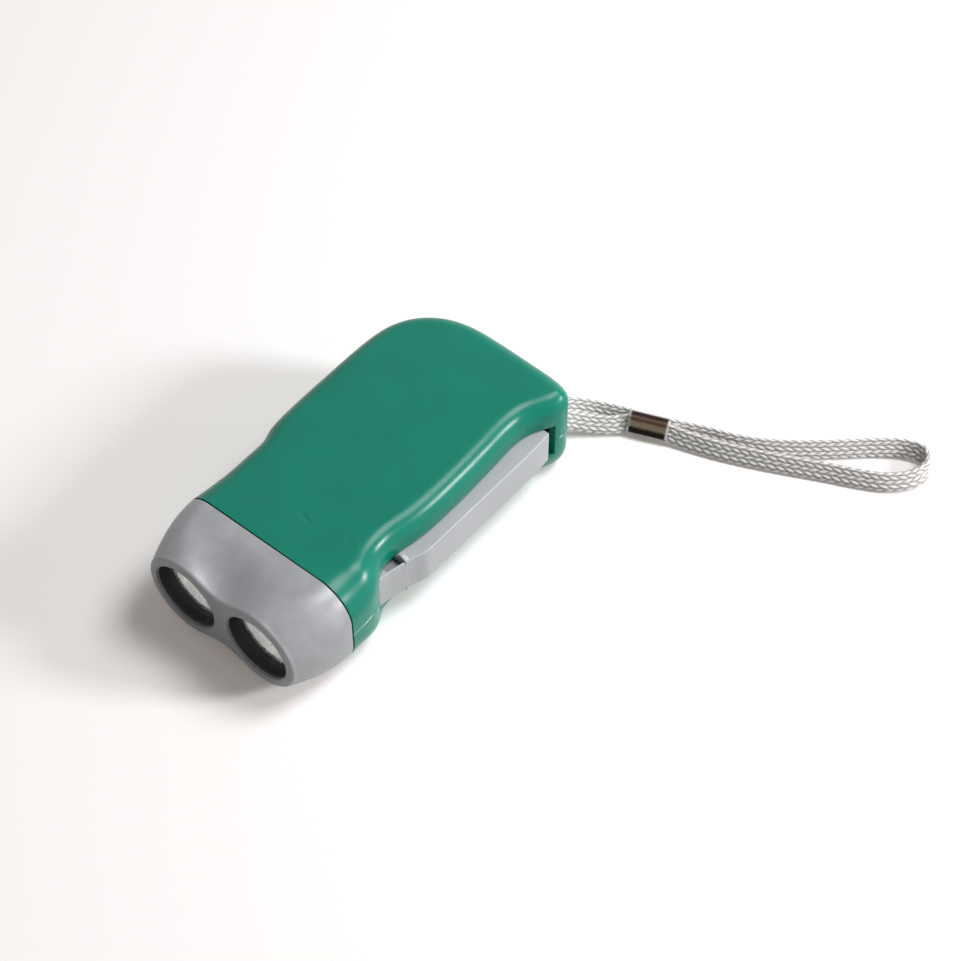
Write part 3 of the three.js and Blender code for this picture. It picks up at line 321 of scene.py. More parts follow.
@dataclass(frozen=True)
class SinkMark:
    """A shallow long dent where the plastic shrank over a rib inside."""

    x: float
    y: float
    turn: float
    length: float
    width: float
    depth: float

    def height(self, graph: Graph, axes: tuple[Link, Link]) -> Link:
        """The dent as a height.

        Args:
            graph: The graph it is drawn in.
            axes: The object coordinates along X and Y.

        Returns:
            Minus depth at the middle, fading to 0.
        """
        cosine, sine = math.cos(self.turn), math.sin(self.turn)
        across, along = axes[0] - self.x, axes[1] - self.y
        u = (across * cosine + along * sine) / self.length
        v = (along * cosine - across * sine) / self.width
        reach = graph.math("SQRT", u * u + v * v)
        return graph.spread(reach, 0.0, 1.0, (-self.depth, 0.0))


@dataclass(frozen=True)
class BodyPlastic(Moulded):
    """Satin shell plastic, with sink marks and a few dust specks on it."""

    sinks: tuple[SinkMark, ...] = ()
    speck_cell: float = 9 * MM
    speck_radius: float = 0.16 * MM
    speck_core: float = 0.4
    speck_colour: Colour = linear(190, 205, 200)
    dust_size: float = 5 * MM
    dust_levels: Flat = (0.5, 0.6)
    dust_share: float = 0.7

    def marked(self, graph: Graph, place: Link, base: Link) -> Link:
        """Adds pale specks, one to a cell, to the base colour.

        Args:
            graph: The graph they are drawn in.
            place: Object coordinates.
            base: The colour beneath.

        Returns:
            The colour with the specks.
        """
        inputs = {"Vector": place, "Scale": 1 / self.speck_cell}
        reach = graph.node("TexVoronoi", inputs, output="Distance")
        radius = self.speck_radius / self.speck_cell
        speck = 1 - graph.spread(reach, self.speck_core * radius, radius)
        dust = graph.noise(place, self.dust_size, 0.0)
        thinned = speck * graph.spread(dust, *self.dust_levels, (0.0, self.dust_share))
        return graph.mix(thinned, base, self.speck_colour)

    def height(self, graph: Graph, place: Link) -> Link:
        """The moulding's grain and waves, with the sink marks.

        Args:
            graph: The graph it is drawn in.
            place: Object coordinates.

        Returns:
            The height in metres.
        """
        outputs = graph.node("SeparateXYZ", {0: place}).socket.node.outputs
        axes = (Link(graph, outputs["X"]), Link(graph, outputs["Y"]))
        total = super().height(graph, place)
        for sink in self.sinks:
            total = total + sink.height(graph, axes)
        return total


@dataclass(frozen=True)
class Metal(Finish):
    """Plain metal: fine brushing along one axis, and tarnish in soft patches."""

    brush: Point = (1.0, 1.0, 1.0)
    brush_size: float = 0.5 * MM
    brush_depth: float = 0.003 * MM
    brush_gloss: float = 0.3
    tarnish: Colour = linear(90, 84, 78)
    tarnish_size: float = 4 * MM
    tarnish_levels: Flat = (0.45, 0.75)
    tarnish_share: float = 0.25

    def paint(self, graph: Graph, sockets: bpy.types.NodeInputs) -> None:
        """Stretches noise along the brushing and stains the colour."""
        place = graph.object_place()
        stretched = graph.node("Mapping", {"Vector": place, "Scale": self.brush}, vector_type="POINT")
        lines = graph.noise(stretched, self.brush_size, 3.0, 0.6)
        patches = graph.noise(place, self.tarnish_size, 4.0, 0.6)
        stain = graph.spread(patches, *self.tarnish_levels, (0.0, self.tarnish_share))
        base = graph.mix(stain, self.colour, self.tarnish)
        span = (self.roughness * (1 - self.brush_gloss), self.roughness * (1 + self.brush_gloss))
        roughness = graph.spread(lines, 0.3, 0.7, span)
        sockets["Metallic"].default_value = 1.0
        relief = graph.bump(lines, self.brush_depth)
        self.feed(graph, sockets, Base_Color=base, Roughness=roughness, Normal=relief)


@dataclass(frozen=True)
class Clear(Finish):
    """Clear moulded acrylic with faint wipe marks."""

    index: float = 1.45
    alpha: float = 0.3
    wipe_size: float = 3 * MM
    wipe_levels: Flat = (0.4, 0.7)
    wipe_rise: float = 0.06

    def paint(self, graph: Graph, sockets: bpy.types.NodeInputs) -> None:
        """Makes the shader transmit and varies the gloss a little."""
        sockets["Transmission Weight"].default_value = 1.0
        sockets["IOR"].default_value = self.index
        sockets["Alpha"].default_value = self.alpha
        wipe = graph.noise(graph.object_place(), self.wipe_size, 4.0, 0.6)
        span = (self.roughness, self.roughness + self.wipe_rise)
        self.feed(graph, sockets, Roughness=graph.spread(wipe, *self.wipe_levels, span))


@dataclass(frozen=True)
class Board(Finish):
    """Lacquered circuit board with faint tracks under the lacquer."""

    track_size: float = 1.6 * MM
    track_edge: Flat = (0.3, 0.36)
    track_depth: float = 0.03 * MM
    track_colour: Colour = linear(60, 140, 80)

    def paint(self, graph: Graph, sockets: bpy.types.NodeInputs) -> None:
        """Draws broad square tracks."""
        inputs = {"Vector": graph.object_place(), "Scale": 1 / self.track_size}
        cells = graph.node("TexVoronoi", inputs, output="Distance", distance="CHEBYCHEV")
        track = graph.spread(cells, *self.track_edge)
        base = graph.mix(track, self.colour, self.track_colour)
        self.feed(graph, sockets, Base_Color=base, Normal=graph.bump(track, self.track_depth))


@dataclass(frozen=True)
class Braid(Finish):
    """Silvery plaited yarn with painted shade in the valleys and painted highlights on the stitch tops. The
    piece's relief attribute is 1 on top of a stitch.
    """

    painted_valley_shade: Colour = linear(164, 155, 150)
    painted_crest_highlight: Colour = linear(252, 252, 252)
    valley_roughness: float = 0.75
    sheen: float = 0.15
    fibre_size: float = 0.35 * MM
    fibre_depth: float = 0.06 * MM

    def paint(self, graph: Graph, sockets: bpy.types.NodeInputs) -> None:
        """Paints shade into the valleys and highlights onto the stitch tops, and adds the fine threads of
        each yarn.
        """
        relief, thread = graph.attribute("relief"), graph.attribute("thread")
        fibre = graph.noise(graph.object_place(), self.fibre_size, 3.0, 0.7)
        # the relief picks painted shade in the valleys and painted highlights on the crests
        level = relief * relief * 0.8 + fibre * 0.3 + thread * 0.1 - 0.12
        base = graph.ramp(level, (0.06, self.painted_valley_shade), (0.28, self.colour), (0.72, self.painted_crest_highlight))
        roughness = graph.spread(level, 0.2, 0.9, (self.valley_roughness, self.roughness))
        sockets["Sheen Weight"].default_value = self.sheen
        yarn = graph.bump(thread * 0.6 + fibre * 0.4, self.fibre_depth)
        self.feed(graph, sockets, Base_Color=base, Roughness=roughness, Normal=yarn)


@dataclass(frozen=True)
class Sleeve(Finish):
    """Bright metal sleeve with painted reflections in dark and brownish bands. Its edge attribute is 1 where
    a painted highlight makes the plating bright.

    Its band attribute runs from 0 at one narrow side to 1 at the other and picks the painted reflection band
    there.
    """

    # painted reflections of the surroundings: dark and brownish bands across the flats, light at the lower
    # edge
    painted_reflection_bands: tuple[Stop, ...] = (
        (0.0, linear(96, 84, 76)), (0.07, linear(26, 20, 18)), (0.18, linear(104, 84, 74)),
        (0.3, linear(62, 46, 38)), (0.42, linear(112, 94, 78)), (0.58, linear(104, 102, 84)),
        (0.7, linear(34, 26, 20)), (0.9, linear(22, 16, 14)), (1.0, linear(150, 140, 132)),
    )
    streak_size: float = 1.1 * MM
    streak_depth: float = 0.01 * MM
    ragged: float = 0.12

    def paint(self, graph: Graph, sockets: bpy.types.NodeInputs) -> None:
        """Draws the painted reflection bands with ragged borders and paints highlights on the edges."""
        edge, band = graph.attribute("edge"), graph.attribute("band")
        streaks = graph.noise(graph.object_place(), self.streak_size, 4.0, 0.7)
        painted_flats = graph.ramp(band + streaks * self.ragged - self.ragged / 2, *self.painted_reflection_bands)
        # the sleeve's own colour is the painted highlight where the edge attribute is 1
        base = graph.mix(edge, painted_flats, self.colour)
        sockets["Metallic"].default_value = 1.0
        self.feed(graph, sockets, Base_Color=base, Normal=graph.bump(streaks, self.streak_depth))


MIDDLE_SINK = SinkMark(
    x=1.9 * MM, y=-22.4 * MM, turn=math.radians(-12), length=4.2 * MM, width=1.1 * MM, depth=0.12 * MM
)
LEVER_SINK = SinkMark(
    x=14.7 * MM, y=-21.3 * MM, turn=math.radians(-25), length=3.0 * MM, width=1.0 * MM, depth=0.06 * MM
)
GREEN = BodyPlastic("shell_green_satin", "shell_green", linear(8, 126, 106), 0.26,
                    clouding=0.045, specular=0.22, rub=0.05, sinks=(MIDDLE_SINK, LEVER_SINK))
GREY = Moulded("head_grey_satin", "head_grey", linear(166, 167, 170), 0.38,
               clouding=0.06, cloud_size=5 * MM, grain_depth=0.004 * MM, specular=0.3, metallic=0.12)
LEVER_GREY = Moulded("lever_grey_satin", "lever_grey", linear(173, 174, 177), 0.34, clouding=0.03)
BLACK = Moulded("black_satin", "black_plastic", linear(24, 24, 26), 0.45, clouding=0.1)
NYLON = Moulded("gear_nylon_plain", "gear_nylon", linear(228, 223, 208), 0.5, clouding=0.03)
LENS = Clear("lens_clear", "clear_lens", linear(246, 250, 252), 0.02)
LED_CLEAR = Clear("led_clear", "clear_lens", linear(244, 246, 244), 0.05)
PHOSPHOR = Moulded("led_phosphor", "brass", linear(214, 196, 92), 0.5)
PLATING = Metal("reflector_plating", "bright_plating", linear(240, 238, 234), 0.3,
                brush=(1.0, 0.25, 1.0), brush_size=3 * MM, tarnish=linear(168, 164, 160), tarnish_share=0.4)
STEEL = Metal("steel_plain", "steel", linear(176, 177, 180), 0.32)
BRASS = Metal("brass_turned", "brass", linear(196, 160, 92), 0.3, tarnish=linear(120, 92, 50))
COPPER = Metal("copper_wire", "copper", linear(180, 104, 62), 0.35, brush=(1.0, 1.0, 12.0))
MAGNET = Moulded("magnet_sintered", "magnet", linear(52, 52, 56), 0.55, grain_depth=0.02 * MM)
BOARD = Board("board_lacquer", "circuit_board", linear(28, 92, 52), 0.35)
BRAID = Braid("strap_braid", "braid", linear(220, 217, 216), 0.42)
# its colour is the painted highlight on the sleeve's mouths and upper ridge
SLEEVE = Sleeve("sleeve_metal", "bright_plating", linear(232, 232, 234), 0.2)

NODE_FINISHES: dict[Finish, tuple[str, ...]] = {
    STEEL: ("pivot_pin", "lever_spring", "first_axle", "second_axle", "rotor_axle", "stator_claws_lower",
            "stator_claws_upper", "battery_cell", "strap_pin"),
    NYLON: ("first_gear", "second_gear", "generator_plate", "rotor_pinion", "coil_bobbin"),
    MAGNET: ("rotor_magnet",),
    BRASS: ("flywheel", "battery_clip"),
    COPPER: ("coil_winding",),
    BOARD: ("led_board", "charging_board"),
    BLACK: ("capacitor", "switch_body"),
}


# Work on meshes

WELD = 0.0001 * MM  # points nearer than this become one
HAIR = 0.001 * MM  # slack of a test of place


def deselect_all() -> None:
    """Leaves nothing selected or active."""
    for thing in bpy.context.selected_objects:
        thing.select_set(False)
    bpy.context.view_layer.objects.active = None


def take(thing: bpy.types.Object) -> None:
    """Selects one object alone and makes it active."""
    deselect_all()
    thing.select_set(True)
    bpy.context.view_layer.objects.active = thing


@contextmanager
def editing(thing: bpy.types.Object) -> Iterator[None]:
    """Edit mode on one object."""
    take(thing)
    bpy.ops.object.mode_set(mode="EDIT")
    try:
        yield
    finally:
        bpy.ops.object.mode_set(mode="OBJECT")


def named(name: str) -> bpy.types.Object:
    """The active object under a new name."""
    made = bpy.context.view_layer.objects.active
    made.name = name
    made.data.name = name
    return made


def loft(name: str, rings: Sequence[Sequence[Point]], ends: bool = True) -> bpy.types.Object:
    """A skin through rings of equal count.

    Args:
        name: The new object's name.
        rings: Rings of points, from one end to the other.
        ends: Whether both ends are closed with a face.

    Returns:
        The object.
    """
    count = len(rings[0])
    deselect_all()
    bpy.ops.mesh.primitive_grid_add(x_subdivisions=count, y_subdivisions=len(rings) - 1, size=1.0)
    made = named(name)
    order = [row * count + k % count for row in range(len(rings)) for k in range(count + 1)]
    made.data.attributes.new("seat", "INT", "POINT").data.foreach_set("value", order)
    places = [axis for ring in rings for place in (*ring, ring[0]) for axis in place]
    made.data.vertices.foreach_set("co", places)
    with editing(made):
        bpy.ops.mesh.select_all(action="SELECT")
        bpy.ops.mesh.remove_doubles(threshold=WELD)
        if ends:
            bpy.ops.mesh.select_all(action="DESELECT")
            bpy.ops.mesh.select_non_manifold()
            bpy.ops.mesh.fill_holes(sides=0)
        bpy.ops.mesh.select_all(action="SELECT")
        bpy.ops.mesh.normals_make_consistent(inside=False)
    return made


def slab(name: str, outline: Sequence[Flat], low: float, high: float) -> bpy.types.Object:
    """A flat outline pulled up from low to high."""
    return loft(name, [[(x, y, z) for x, y in outline] for z in (low, high)])


def block(name: str, low: Point, high: Point, edge: float = 0.0) -> bpy.types.Object:
    """A box between two corners, its edges rounded where edge is given.

    Args:
        name: The new object's name.
        low: Its lowest corner.
        high: Its highest corner.
        edge: Width of the rounding, 0 for none.

    Returns:
        The object.
    """
    deselect_all()
    middle = [(a + b) / 2 for a, b in zip(low, high)]
    bpy.ops.mesh.primitive_cube_add(size=1.0, location=middle)
    made = named(name)
    made.scale = [b - a for a, b in zip(low, high)]
    bpy.ops.object.transform_apply(location=True, rotation=True, scale=True)
    if edge:
        soften(made, edge)
    return made


def bar(name: str, xs: Flat, ys: Flat, zs: Flat, edge: float = 0.0) -> bpy.types.Object:
    """A box from spans in millimetres."""
    low, high = [tuple(span[end] * MM for span in (xs, ys, zs)) for end in (0, 1)]
    return block(name, low, high, edge * MM)


def post(
    name: str, centre: Flat, radius: float, low: float, high: float, sides: int = 48
) -> bpy.types.Object:
    """An upright round post.

    Args:
        name: The new object's name.
        centre: Its axis.
        radius: Its radius.
        low: Height of its foot.
        high: Height of its top.
        sides: Number of its sides.

    Returns:
        The object.
    """
    deselect_all()
    place = (*centre, (low + high) / 2)
    bpy.ops.mesh.primitive_cylinder_add(vertices=sides, radius=radius, depth=high - low, location=place)
    made = named(name)
    bpy.ops.object.transform_apply(location=True, rotation=True, scale=True)
    return made


def turned(name: str, profile: Sequence[Flat], steps: int = 96) -> bpy.types.Object:
    """A closed profile spun about the Z axis.

    Args:
        name: The new object's name.
        profile: Points as radius and height, going once round the profile.
        steps: The number of steps in the turn.

    Returns:
        The object.
    """
    deselect_all()
    bpy.ops.mesh.primitive_circle_add(vertices=len(profile), radius=1.0)
    made = named(name)
    with editing(made):
        mesh = bmesh.from_edit_mesh(made.data)
        for vertex, (radius, height) in zip(mesh.verts, profile):
            vertex.co = (radius, 0.0, height)
        bmesh.update_edit_mesh(made.data)
        bpy.ops.mesh.spin(steps=steps, angle=math.tau, center=(0, 0, 0), axis=(0, 0, 1), use_auto_merge=True)
        bpy.ops.mesh.select_all(action="SELECT")
        bpy.ops.mesh.remove_doubles(threshold=WELD * 5)
        bpy.ops.mesh.dissolve_degenerate(threshold=WELD * 2)
        bpy.ops.mesh.select_all(action="SELECT")
        bpy.ops.mesh.delete_loose()
        bpy.ops.mesh.select_all(action="SELECT")
        bpy.ops.mesh.normals_make_consistent(inside=False)
    return made


def move_mesh(thing: bpy.types.Object, matrix: Matrix) -> bpy.types.Object:
    """Moves the mesh of an object that stays at the origin."""
    thing.data.transform(matrix)
    return thing


def copied(thing: bpy.types.Object, name: str, matrix: Matrix) -> bpy.types.Object:
    """A copy with its own mesh, moved by a matrix.

    Args:
        thing: The object that is copied.
        name: The new object's name.
        matrix: Where the copy goes.

    Returns:
        The copy.
    """
    made = thing.copy()
    made.data = thing.data.copy()
    made.name = made.data.name = name
    bpy.context.scene.collection.objects.link(made)
    return move_mesh(made, matrix)


def drop(thing: bpy.types.Object) -> None:
    """Removes an object that has done its work."""
    bpy.data.objects.remove(thing, do_unlink=True)


def merged(name: str, things: Sequence[bpy.types.Object]) -> bpy.types.Object:
    """Several objects as one, without cutting them.

    Args:
        name: The new object's name.
        things: The objects, which become one.

    Returns:
        The object.
    """
    take(things[0])
    for thing in things:
        thing.select_set(True)
    bpy.ops.object.join()
    return named(name)


def combine(thing: bpy.types.Object, tool: bpy.types.Object, how: Join) -> bpy.types.Object:
    """Adds or cuts a closed tool and removes it.

    Args:
        thing: The object to work on.
        tool: The closed tool.
        how: What is done with it.

    Returns:
        The first object.
    """
    modifier = thing.modifiers.new("combine", "BOOLEAN")
    modifier.operation = how.value
    modifier.solver = "MANIFOLD"
    modifier.object = tool
    take(thing)
    bpy.ops.object.modifier_apply(modifier=modifier.name)
    drop(tool)
    return thing


def bevel_where(
    thing: bpy.types.Object, chosen: Callable[[bmesh.types.BMEdge], bool], width: float, segments: int = 3
) -> None:
    """Rounds the edges that a test picks.

    Args:
        thing: The object to work on.
        chosen: Says whether an edge is rounded.
        width: The width of the rounding.
        segments: Its number of steps.
    """
    with editing(thing):
        bpy.ops.mesh.select_mode(type="EDGE")
        bpy.ops.mesh.select_all(action="DESELECT")
        mesh = bmesh.from_edit_mesh(thing.data)
        for edge in mesh.edges:
            edge.select = chosen(edge)
        bmesh.update_edit_mesh(thing.data)
        bpy.ops.mesh.bevel(offset=width, segments=segments, profile=0.5, affect="EDGES", clamp_overlap=True)


def soften(thing: bpy.types.Object, width: float, segments: int = 3, angle: float = 35.0) -> None:
    """Rounds every edge sharper than an angle in degrees.

    Args:
        thing: The object to work on.
        width: Width of the rounding.
        segments: Its number of steps.
        angle: The least angle between faces, in degrees.
    """
    modifier = thing.modifiers.new("soften", "BEVEL")
    modifier.width = width
    modifier.segments = segments
    modifier.limit_method = "ANGLE"
    modifier.angle_limit = math.radians(angle)
    modifier.use_clamp_overlap = True
    take(thing)
    bpy.ops.object.modifier_apply(modifier=modifier.name)


def smooth(thing: bpy.types.Object, angle: float = 32.0) -> None:
    """Smooth shading up to an angle in degrees."""
    take(thing)
    bpy.ops.object.shade_smooth_by_angle(angle=math.radians(angle))


def dress(thing: bpy.types.Object, finish: Finish, body: Body, *nodes: str) -> bpy.types.Object:
    """Gives a piece its finish and its body, and hides the nodes that it stands for.

    Args:
        thing: The object to work on.
        finish: Its finish.
        body: The body that it rides on.
        nodes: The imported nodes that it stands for.

    Returns:
        The object.
    """
    thing.data.materials.clear()
    thing.data.materials.append(finish.material())
    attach(thing, body.value)
    if nodes:
        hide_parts(*nodes)
    LOG.info("%s rides on %s with %d faces", thing.name, body.value, len(thing.data.polygons))
    return thing


# Curves

TINY = 1e-12  # keeps a step of no length from dividing by zero


def curve_through(places: Sequence[Vector], closed: bool, steps: int) -> list[Vector]:
    """A centripetal curve through places, with steps points on each stretch.

    Args:
        places: The places that it passes.
        closed: Whether it ends where it starts.
        steps: Points on each stretch between two places.

    Returns:
        Points of the curve.
    """
    count = len(places)
    if closed:
        ends = [places[-1], *places, places[0], places[1]]
    else:
        ends = [places[0] * 2 - places[1], *places, places[-1] * 2 - places[-2]]
    points = []
    for i in range(count if closed else count - 1):
        a, b, c, d = ends[i : i + 4]
        spans = [math.sqrt((q - p).length) for p, q in ((a, b), (b, c), (c, d))]
        leave = (b - a) / spans[0] - (c - a) / (spans[0] + spans[1]) + (c - b) / spans[1]
        reach = (c - b) / spans[1] - (d - b) / (spans[1] + spans[2]) + (d - c) / spans[2]
        leave, reach = leave * spans[1], reach * spans[1]
        square = c * 3 - b * 3 - leave * 2 - reach
        cube = b * 2 - c * 2 + leave + reach
        for k in range(steps):
            t = k / steps
            points.append(b + leave * t + square * t**2 + cube * t**3)
    if not closed:
        points.append(places[-1].copy())
    return points


def evenly(points: Sequence[Vector], count: int, closed: bool) -> list[Vector]:
    """The same line with count points at equal steps.

    Args:
        points: Points of the line.
        count: How many points are wanted.
        closed: Whether the line ends where it starts.

    Returns:
        The new points.
    """
    line = [*points, points[0]] if closed else list(points)
    reach = [0.0]
    for a, b in zip(line, line[1:]):
        reach.append(reach[-1] + (b - a).length)
    spaced, k = [], 0
    for i in range(count):
        goal = reach[-1] * i / (count if closed else count - 1)
        while k + 2 < len(reach) and reach[k + 1] < goal:
            k += 1
        share = (goal - reach[k]) / max(reach[k + 1] - reach[k], TINY)
        spaced.append(line[k].lerp(line[k + 1], min(share, 1.0)))
    return spaced


def eased(points: Sequence[Vector], passes: int) -> list[Vector]:
    """A closed line with its small kinks smoothed out.

    Args:
        points: Points of the line.
        passes: How often each is drawn to its neighbours.

    Returns:
        The new points.
    """
    count = len(points)
    for _ in range(passes):
        points = [points[i - 1] / 4 + points[i] / 2 + points[(i + 1) % count] / 4 for i in range(count)]
    return list(points)


def outward(points: Sequence[Vector]) -> list[Vector]:
    """Unit normals of a closed line that runs anticlockwise.

    Args:
        points: Points of the line.

    Returns:
        One normal for each point.
    """
    count = len(points)
    sides = []
    for i in range(count):
        along = points[(i + 1) % count] - points[i - 1]
        sides.append(Vector((along.y, -along.x, 0.0)).normalized())
    return sides


def smoothstep(value: float, low: float, high: float) -> float:
    """0 below low, 1 above high, and an eased rise between."""
    share = min(1.0, max(0.0, (value - low) / (high - low)))
    return share * share * (3 - 2 * share)


# Stage


@dataclass
class Stage:
    """The floor, the lights and the camera of the photograph's view."""

    azimuth: float = math.radians(39.5)
    elevation: float = math.radians(51.0)
    distance: float = 523 * MM
    target: Point = (20.3 * MM, 18.8 * MM, 15.0 * MM)
    lens: float = 82.16
    sensor: float = 36.0
    floor_size: float = 6.0
    floor_fade: Flat = (0.2, 1.0)
    floor_albedo: float = 0.6
    floor_glow: Colour = (0.145, 0.122, 0.11, 1.0)
    world_level: float = 0.15
    lights: tuple[tuple[str, Point, float, float], ...] = (
        ("softbox_right", (0.9, 0.58, 0.476), 0.22, 9.2),
        ("softbox_high", (0.32, 0.45, 0.98), 0.45, 7.2),
    )

    def camera(self) -> None:
        """Adds the camera at the photograph's viewing angle."""
        a, e = self.azimuth, self.elevation
        back = Vector((math.sin(a) * math.cos(e), -math.cos(a) * math.cos(e), math.sin(e)))
        right = Vector((math.cos(a), math.sin(a), 0.0))
        up = back.cross(right)
        data = bpy.data.cameras.new("camera")
        data.lens = self.lens
        data.sensor_width = self.sensor
        data.clip_start = 0.01
        made = bpy.data.objects.new("camera", data)
        bpy.context.scene.collection.objects.link(made)
        place = Vector(self.target) + back * self.distance
        made.matrix_world = Matrix.Translation(place) @ Matrix((right, up, back)).transposed().to_4x4()
        bpy.context.scene.camera = made

    def light(self, name: str, place: Point, size: float, power: float) -> None:
        """Adds a square soft light that faces the torch.

        Args:
            name: The new object's name.
            place: Where it stands.
            size: Length of its side in metres.
            power: Its power in watts.
        """
        data = bpy.data.lights.new(name, "AREA")
        data.size = size
        data.energy = power
        made = bpy.data.objects.new(name, data)
        bpy.context.scene.collection.objects.link(made)
        made.location = place
        made.rotation_euler = (Vector(self.target) - Vector(place)).to_track_quat("-Z", "Y").to_euler()

    def floor(self) -> None:
        """Adds the pale floor, which glows a little to the camera and fades to white far away."""
        deselect_all()
        bpy.ops.mesh.primitive_plane_add(size=self.floor_size)
        made = named("floor")
        material = bpy.data.materials.new("floor_paint")
        material.use_nodes = True
        graph = Graph(material.node_tree)
        plain = graph.node("BsdfDiffuse", {"Color": shaded(WHITE, self.floor_albedo)})
        paint = graph.node("BsdfDiffuse", {"Color": WHITE})
        distance = graph.node("VectorMath", {0: graph.object_place()}, output="Value", operation="LENGTH")
        level = graph.mix(graph.spread(distance, *self.floor_fade), self.floor_glow, WHITE)
        glow = graph.node("Emission", {"Color": level, "Strength": 1.0})
        bright = graph.node("AddShader", {0: paint, 1: glow})
        surface = graph.node("MixShader", {0: graph.seen(), 1: plain, 2: bright})
        graph.node("OutputMaterial", {"Surface": surface})
        made.data.materials.append(material)

    def world(self) -> None:
        """Fills the world with plain pale light that looks white when seen."""
        world = bpy.data.worlds.new("studio")
        world.use_nodes = True
        bpy.context.scene.world = world
        graph = Graph(world.node_tree)
        level = graph.math("MULTIPLY_ADD", graph.seen(), 1 - self.world_level, self.world_level)
        background = graph.node("Background", {"Color": WHITE, "Strength": level})
        graph.node("OutputWorld", {"Surface": background})

    def build(self) -> None:
        """Sets the colour management, the floor and the lights."""
        bpy.context.scene.view_settings.view_transform = "Standard"
        self.floor()
        self.world()
        for light in self.lights:
            self.light(*light)


# Strap


@dataclass
class WristStrap:
    """The braided strap on its pin, with the metal sleeve that holds its two ends together."""

    width: float = 4.8 * MM
    thickness: float = 1.3 * MM
    length: float = 209 * MM
    rings: int = 1000
    around: int = 60
    stretch_steps: int = 24
    stitch: float = 2.3 * MM
    columns: int = 10
    threads: int = 4
    thread_turn: float = 0.6
    relief: float = 0.22 * MM
    relief_middle: float = 0.6
    edge_relief: float = 0.3
    slant: float = 0.36
    lean: float = math.radians(36)
    lean_towards: Point = (0.636, -0.772, 0.0)
    exit: Point = (15.6 * MM, 48.6 * MM, 7.4 * MM)
    sleeve_node: str = "strap_ferrule"
    sleeve_lift: float = 0.17 * MM
    sleeve_bearing: float = math.radians(21.5)
    sleeve_length: float = 10.4 * MM
    sleeve_high: float = 2.9 * MM
    sleeve_wide: float = 2.3 * MM
    sleeve_wall: float = 0.35 * MM
    sleeve_lip: float = 0.25 * MM
    sleeve_power: float = 0.62
    sleeve_around: int = 72
    # height and side where the sleeve's painted highlight runs along its upper ridge
    highlight_rise: Flat = (0.86, 0.93)
    highlight_side_start: float = -0.5
    route: tuple[Point, ...] = (
        (13.65, 44.4, 7.4), (13.75, 48.4, 7.4), (14.6, 53.2, 6.5), (17.2, 58.0, 4.8), (21.6, 61.9, 3.3),
        (26.6, 64.4, 2.9), (30.3, 65.85, 2.9), (34.75, 67.5, 2.9), (39.45, 69.35, 2.9), (43.2, 71.3, 2.5),
        (48.2, 73.5, 2.4), (54.6, 75.9, 2.4), (61.2, 79.3, 2.4), (68.4, 84.5, 2.4), (75.6, 90.7, 2.4),
        (82.4, 96.9, 2.4), (88.2, 101.2, 2.5), (92.8, 102.2, 2.6), (95.8, 99.4, 2.6), (95.2, 94.6, 2.6),
        (91.2, 89.8, 2.5), (85.4, 86.4, 2.4), (77.8, 82.9, 2.4), (69.4, 78.8, 2.4), (61.0, 74.9, 2.4),
        (53.0, 71.6, 2.4), (45.8, 69.2, 2.5), (40.3, 67.6, 2.9), (35.25, 65.8, 2.9), (30.7, 64.15, 2.9),
        (27.6, 60.8, 2.9), (23.4, 57.2, 3.6), (19.8, 54.0, 5.0), (17.8, 51.4, 6.6), (17.5, 48.4, 7.4),
        (17.55, 44.4, 7.4),
    )

    def centreline(self) -> list[Vector]:
        """The strap's middle line at equal steps."""
        places = [Vector(place) * MM for place in self.route]
        return evenly(curve_through(places, False, self.stretch_steps), self.rings, False)

    def section(self) -> list[Point]:
        """Points of the tape's section.

        Returns:
            Across the width, across the thickness, and the share of the way round.
        """
        straight = self.width - self.thickness
        turn = math.pi * self.thickness / 2
        whole = 2 * (straight + turn)
        points = []
        for i in range(self.around):
            share = i / self.around
            run = share * whole
            side = 1.0
            if run >= whole / 2:
                run -= whole / 2
                side = -1.0
            if run < straight:
                points.append((side * (run - straight / 2), -side * self.thickness / 2, share))
            else:
                angle = (run - straight) / (self.thickness / 2)
                across = straight / 2 + math.sin(angle) * self.thickness / 2
                points.append((side * across, -side * math.cos(angle) * self.thickness / 2, share))
        return points

    def stitch_height(self, reach: float, share: float) -> tuple[float, float]:
        """The plait's relief at a point.

        Args:
            reach: The way along the strap in metres.
            share: The share of the way round the tape.

        Returns:
            The height of the stitch and of its single threads, both from 0 to 1.
        """
        place = share * self.columns
        column = math.floor(place)
        within = place - column
        odd = column % 2
        lean = self.slant if odd else -self.slant
        phase = reach / self.stitch + lean * (within - 0.5) * 2 + 0.5 * odd
        bump = abs(math.sin(math.pi * phase)) ** 0.8 * math.sin(math.pi * within) ** 0.7
        strands = 0.5 + 0.5 * math.cos(math.tau * (within * self.threads + phase * self.thread_turn))
        return bump, strands

    def strap(self) -> tuple[bpy.types.Object, list[Vector]]:
        """Builds the plaited tape.

        Returns:
            The object, and the line that it follows.
        """
        line = self.centreline()
        step = sum((b - a).length for a, b in zip(line, line[1:])) / (len(line) - 1)
        upright = Vector((0.0, 0.0, 1.0))
        rings, heights = [], []
        section = self.section()
        for i, place in enumerate(line):
            along = (line[min(i + 1, len(line) - 1)] - line[max(i - 1, 0)]).normalized()
            side = along.cross(upright).normalized()
            side, rise = self.leant(side, side.cross(along))
            ring = []
            for across, out, share in section:
                height = self.stitch_height(i * step, share)
                heights.append(height)
                grow = (height[0] - self.relief_middle) * self.relief / (self.thickness / 2)
                wide = rise * across * (1 + grow * self.edge_relief)
                ring.append(tuple(place + wide + side * out * (1 + grow)))
            rings.append(ring)
        made = loft("wrist_strap_braid", rings)
        self.mark(made, heights)
        smooth(made, 60.0)
        return made, line

